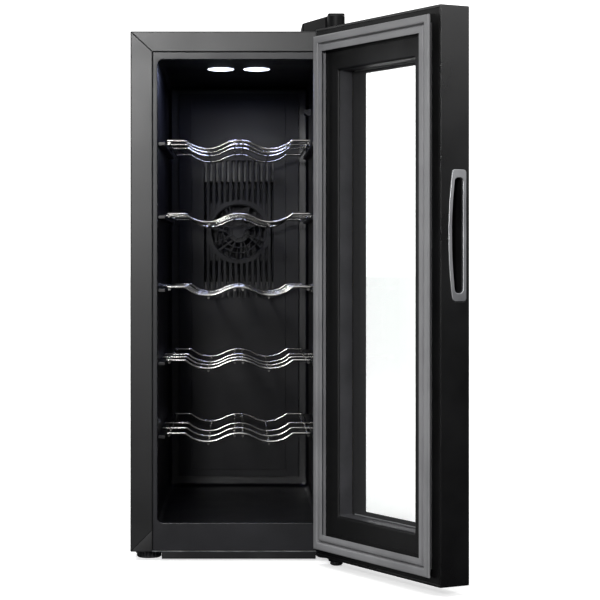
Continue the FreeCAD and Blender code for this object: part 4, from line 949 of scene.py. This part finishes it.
# Natural nylon: a cream white that yellows a little in places.
bush_nylon = finish_of("natural nylon", "#e4e0d4", IOR=1.53)
drift(bush_nylon, 0.006, ("#dedacc", "#e9e6dc"), (0.4, 0.5))
dress(bush_nylon, "top_hinge_bush", "bottom_hinge_bush")

# ---- Door liner ----
# The inner face is a panel vacuum formed in matt black ABS: a shallow channel holds the gasket,
# and a rounded reveal runs down to the glass.

CHANNEL_DEEP = 0.0012
CHANNEL_WIDE = 0.0207
LIT_REVEAL_FROM = 0.0030

frame_low, frame_high = shut_box("door_frame")
seal_low, seal_high = shut_box("door_gasket")
panel_low, panel_high = shut_box("door_liner")
border_low, border_high = shut_box("glass_border")
door_in, glass_in = panel_high.y, border_low.y
window = Vector((border_high.x + 0.0002, border_low.z - 0.0002, border_high.z + 0.0002))
seal_half, seal_inner = seal_high.x, seal_high.x - CHANNEL_WIDE

# Matt ABS: the formed panel keeps the fine haircell of its sheet, about a millimetre across.
panel_abs = finish_of("haircell black ABS", "#0e0e0f", IOR=1.4)
drift(panel_abs, 0.04, ("#0c0c0d", "#111112"), (0.44, 0.54))
relief(panel_abs, 0.0009, 0.00003)

# The reveal: the panel's own ABS, painted a paler charcoal where its walls face the light: painted
# highlight.
lit_reveal_abs = finish_of("door ABS painted paler as lit", "#414144", IOR=1.5)
drift(lit_reveal_abs, 0.03, ("#3d3d40", "#48484b"), (0.46, 0.56))
relief(lit_reveal_abs, 0.0009, 0.00003)


def door_ring(bm, half, low, high, y, radius=0.0, steps=5):
    """A ring round the door's window, drawn with the door shut and swung open."""
    if radius:
        ring = rounded_loop(bm, half, low, high, radius, y, steps)
    else:
        ring = [bm.verts.new((x, y, z)) for x, z in ((half, high), (-half, high), (-half, low),
                                                     (half, low))]
    for v in ring:
        v.co = swung @ v.co
    return ring


panel = bmesh.new()
panel_rings = []
for half, low, high, depth, radius in (
        (panel_high.x, panel_low.z, panel_high.z, 0.0010, 0.002),
        (panel_high.x - 0.0004, panel_low.z + 0.0004, panel_high.z - 0.0004, 0.0, 0.002),
        (seal_half + 0.0006, seal_low.z - 0.0006, seal_high.z + 0.0006, 0.0, 0.001),
        (seal_half + 0.0002, seal_low.z - 0.0002, seal_high.z + 0.0002, CHANNEL_DEEP, 0.001),
        (seal_inner - 0.0002, seal_low.z + 0.0209, seal_high.z - 0.0209, CHANNEL_DEEP, 0.001),
        (seal_inner - 0.0006, seal_low.z + 0.0213, seal_high.z - 0.0213, 0.0, 0.001)):
    panel_rings.append(door_ring(panel, half, low, high, door_in - depth, radius))
for out, depth in ((0.0028, 0.0), (0.0014, 0.0004), (0.0004, 0.0014), (0.0, 0.0028),
                   (-0.0006, door_in - glass_in - 0.0016), (-0.0004, door_in - glass_in - 0.0010)):
    panel_rings.append(door_ring(panel, window.x + out, window.y - out, window.z + out,
                                 door_in - depth, 0.002))
skin_between(panel, panel_rings)
show_side(panel, max(panel.faces, key=lambda f: f.calc_area()),
          swung.to_3x3() @ Vector((0, 1, 0)))
# Faces deeper than the reveal's start take the paler painted-highlight copy of the ABS.
for face in panel.faces:
    depth = door_in - (swung.inverted() @ face.calc_center_median()).y
    face.material_index = 1 if depth > LIT_REVEAL_FROM else 0
liner_panel = mesh_of("door_panel", panel, panel_abs, outward=False)
liner_panel.data.materials.append(lit_reveal_abs)
stands_for(evened(kept_shape(liner_panel, "SOLIDIFY", thickness=SHEET_THICK, offset=-1)),
           "door_liner")

# ---- Glazing ----
# Two panes of float glass on a black spacer. The outer one is printed black round its edge; the
# inner one has a printed border and rests on setting strips along its ends, painted grey as a
# highlight.

STRIP = 0.0011
FRIT_FROM = 0.0023
FRIT_TO = 0.0500

# Float glass: clear, with a trace of iron green that hardly varies over a hand's width.
glass = finish_of("clear float glass", "#fdfffe", IOR=1.5, Transmission_Weight=1.0)
drift(glass, 0.2, ("#fcfefd", "#ffffff"), (0.0, 0.006))
dress(glass, "outer_glass", "inner_glass")
dress(butyl_and_seam_shade, "glass_spacer")

# Fired print: a matt charcoal enamel with the dot grain of its screen, half a millimetre apart.
print_black = finish_of("fired screen print", "#2c2c2d", IOR=1.5)
drift(print_black, 0.0012, ("#262627", "#343435"), (0.45, 0.6))
relief(print_black, 0.0005, 0.00002)
dress(print_black, "glass_border")


def mitred(name, outline, material, sharp=35):
    """A closed profile of (distance inside the door's edge, level), run round with mitres."""
    bm = bmesh.new()
    rings = [door_ring(bm, frame_high.x - u, frame_low.z + u, frame_high.z - u, level)
             for u, level in outline]
    skin_between(bm, rings, closed=True)
    return mesh_of(name, bm, material, sharp)


pane_back = shut_box("outer_glass")[1].y
frit = mitred("outer_glass_print", [(u, pane_back - depth) for u, depth in (
    (FRIT_FROM, 0.0003), (FRIT_TO, 0.0003), (FRIT_TO, 0.0001), (FRIT_FROM, 0.0001))], print_black)
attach(frit, "door")

# Soft PVC strips, painted a half-clear grey so that they read as a lit line along the glass's ends:
# a painted highlight.
highlight_pvc = finish_of("soft PVC painted grey as a highlight", "#8d8e90", IOR=1.53, Transmission_Weight=0.35)
drift(highlight_pvc, 0.02, ("#858688", "#979899"), (0.3, 0.4))
for label, level, thick in (("top", window.z - STRIP - 0.0004, STRIP),
                            ("bottom", window.y + 0.0004, STRIP * 2)):
    strip = bmesh.new()
    sections = []
    for x in (-window.x + 0.0065, window.x - 0.0065):
        sections.append([strip.verts.new(swung @ Vector((x, glass_in + 0.0003 + y, level + z)))
                         for y, z in [(0.0009 + a, thick / 2 + b) for a, b in
                                      round_in((0, 0), 0.0008, 0, 330, 11)]])
    prism(strip, sections)
    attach(mesh_of(f"setting_strip_{label}", strip, highlight_pvc), "door")

# Lit digits: light-emitting segments that shine cold white through the print.
digit_light = finish_of("display segments", "#dfe9ff", Emission_Color=linear("#cfe0ff"),
                        Emission_Strength=1.6)
drift(digit_light, 0.004, ("#d6e2ff", "#e8efff"), (0.35, 0.45))

DIGIT_WIDE = 0.0046
DIGIT_TALL = 0.0086
STROKE = 0.0009
DISPLAY_Z = 0.611
TOUCH_X = 0.030
TOUCH_REACH = 0.0040
digits = bmesh.new()


def stroke(x, z, wide, tall):
    """One lit segment with pointed ends, just in front of the print."""
    tip = min(wide, tall) / 2
    if wide > tall:
        outline = [(-wide / 2, 0), (-wide / 2 + tip, -tip), (wide / 2 - tip, -tip), (wide / 2, 0),
                   (wide / 2 - tip, tip), (-wide / 2 + tip, tip)]
    else:
        outline = [(0, -tall / 2), (tip, -tall / 2 + tip), (tip, tall / 2 - tip), (0, tall / 2),
                   (-tip, tall / 2 - tip), (-tip, -tall / 2 + tip)]
    prism(digits, [[digits.verts.new(swung @ Vector((x + a, pane_back - depth, z + b)))
                    for a, b in outline] for depth in (0.0005, 0.0004)])


SEGMENTS = {"a": (0, 1, 1), "b": (0.5, 0.5, 0), "c": (0.5, -0.5, 0), "d": (0, -1, 1),
            "e": (-0.5, -0.5, 0), "f": (-0.5, 0.5, 0), "g": (0, 0, 1)}
for offset, lit in ((-0.0034, "bc"), (0.0034, "abged")):
    for letter in lit:
        across, up, level = SEGMENTS[letter]
        stroke(offset + across * DIGIT_WIDE, DISPLAY_Z + up * DIGIT_TALL / 2,
               DIGIT_WIDE * 0.86 if level else STROKE,
               STROKE if level else DIGIT_TALL / 2 * 0.86)
for x, wide, tall in ((-TOUCH_X, TOUCH_REACH, STROKE), (TOUCH_X, TOUCH_REACH, STROKE),
                      (TOUCH_X, STROKE, TOUCH_REACH)):
    stroke(x, DISPLAY_Z, wide, tall)
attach(mesh_of("display_segments", digits, digit_light), "door")

# ---- Gasket ----
# A welded frame of soft grey PVC, pushed into the panel's channel: a flat band that holds the
# magnet, a soft groove, and a second lip. Its corners are mitred and butt welded.

SEAL_SECTION = [(18.2, -1.0), (18.5, 2.6), (17.6, 4.5), (14.5, 5.4), (11.6, 5.8), (10.3, 6.7),
                (10.0, 7.9), (10.4, 9.2), (11.6, 9.9), (14.5, 10.0), (17.4, 9.8), (18.7, 8.9),
                (19.3, 6.6), (20.0, 4.8), (20.7, 6.6), (21.6, 8.7), (23.8, 9.4), (26.6, 9.3),
                (28.4, 9.1), (28.8, 8.7), (28.3, 8.2), (26.6, 7.7), (24.2, 6.9), (22.6, 5.6),
                (22.0, 3.0), (22.3, -1.0)]
SEAL_SMOOTH = 5

# Soft PVC: satin mid grey, lighter where it is thin, with a bloom that dulls its highlights.
soft_pvc = finish_of("soft grey PVC", "#929294", IOR=1.52, Subsurface_Weight=0.04,
                     Subsurface_Radius=(0.002,) * 3)
drift(soft_pvc, 0.06, ("#8b8b8d", "#9a9a9c"), (0.34, 0.42))
relief(soft_pvc, 0.004, 0.00005)


def smooth_section(points, steps):
    """Points on the smooth closed curve that passes through the given ones."""
    result = []
    for i in range(len(points)):
        a, b, c, d = [Vector(points[(i + k) % len(points)]) for k in (-1, 0, 1, 2)]
        for k in range(steps):
            t = k / steps
            result.append(0.5 * (2 * b + (c - a) * t + (2 * a - 5 * b + 4 * c - d) * t ** 2
                                 + (3 * b - a - 3 * c + d) * t ** 3))
    return result


profile = [(p.x / 1000, door_in + p.y / 1000) for p in smooth_section(SEAL_SECTION, SEAL_SMOOTH)]
stands_for(mitred("door_seal", profile, soft_pvc, sharp=50), "door_gasket")

# Ferrite: the flexible magnet is a dull brown-black strip inside the band.
ferrite = finish_of("bonded ferrite", "#2a2422")
drift(ferrite, 0.004, ("#25201e", "#322b28"), (0.6, 0.75))
dress(ferrite, "gasket_magnet")

# ---- Handle ----
# A recess for the fingers in the door's free edge: a black cup behind a die-cast rim, which is
# plated and brushed to a satin.

# Satin chrome: the brush leaves fine lines along the rim, about half a millimetre apart.
satin_chrome = finish_of("satin chromium plate", "#c2c3c5", Metallic=1.0)
drift(satin_chrome, 0.03, ("#bbbcbf", "#cbccce"), (0.38, 0.46))
relief(satin_chrome, 0.0006, 0.000015, stretch=(1, 1, 0.05))
recast("handle_bezel", 0.0008, satin_chrome, steps=3)
dress(black_abs, "handle_cup")
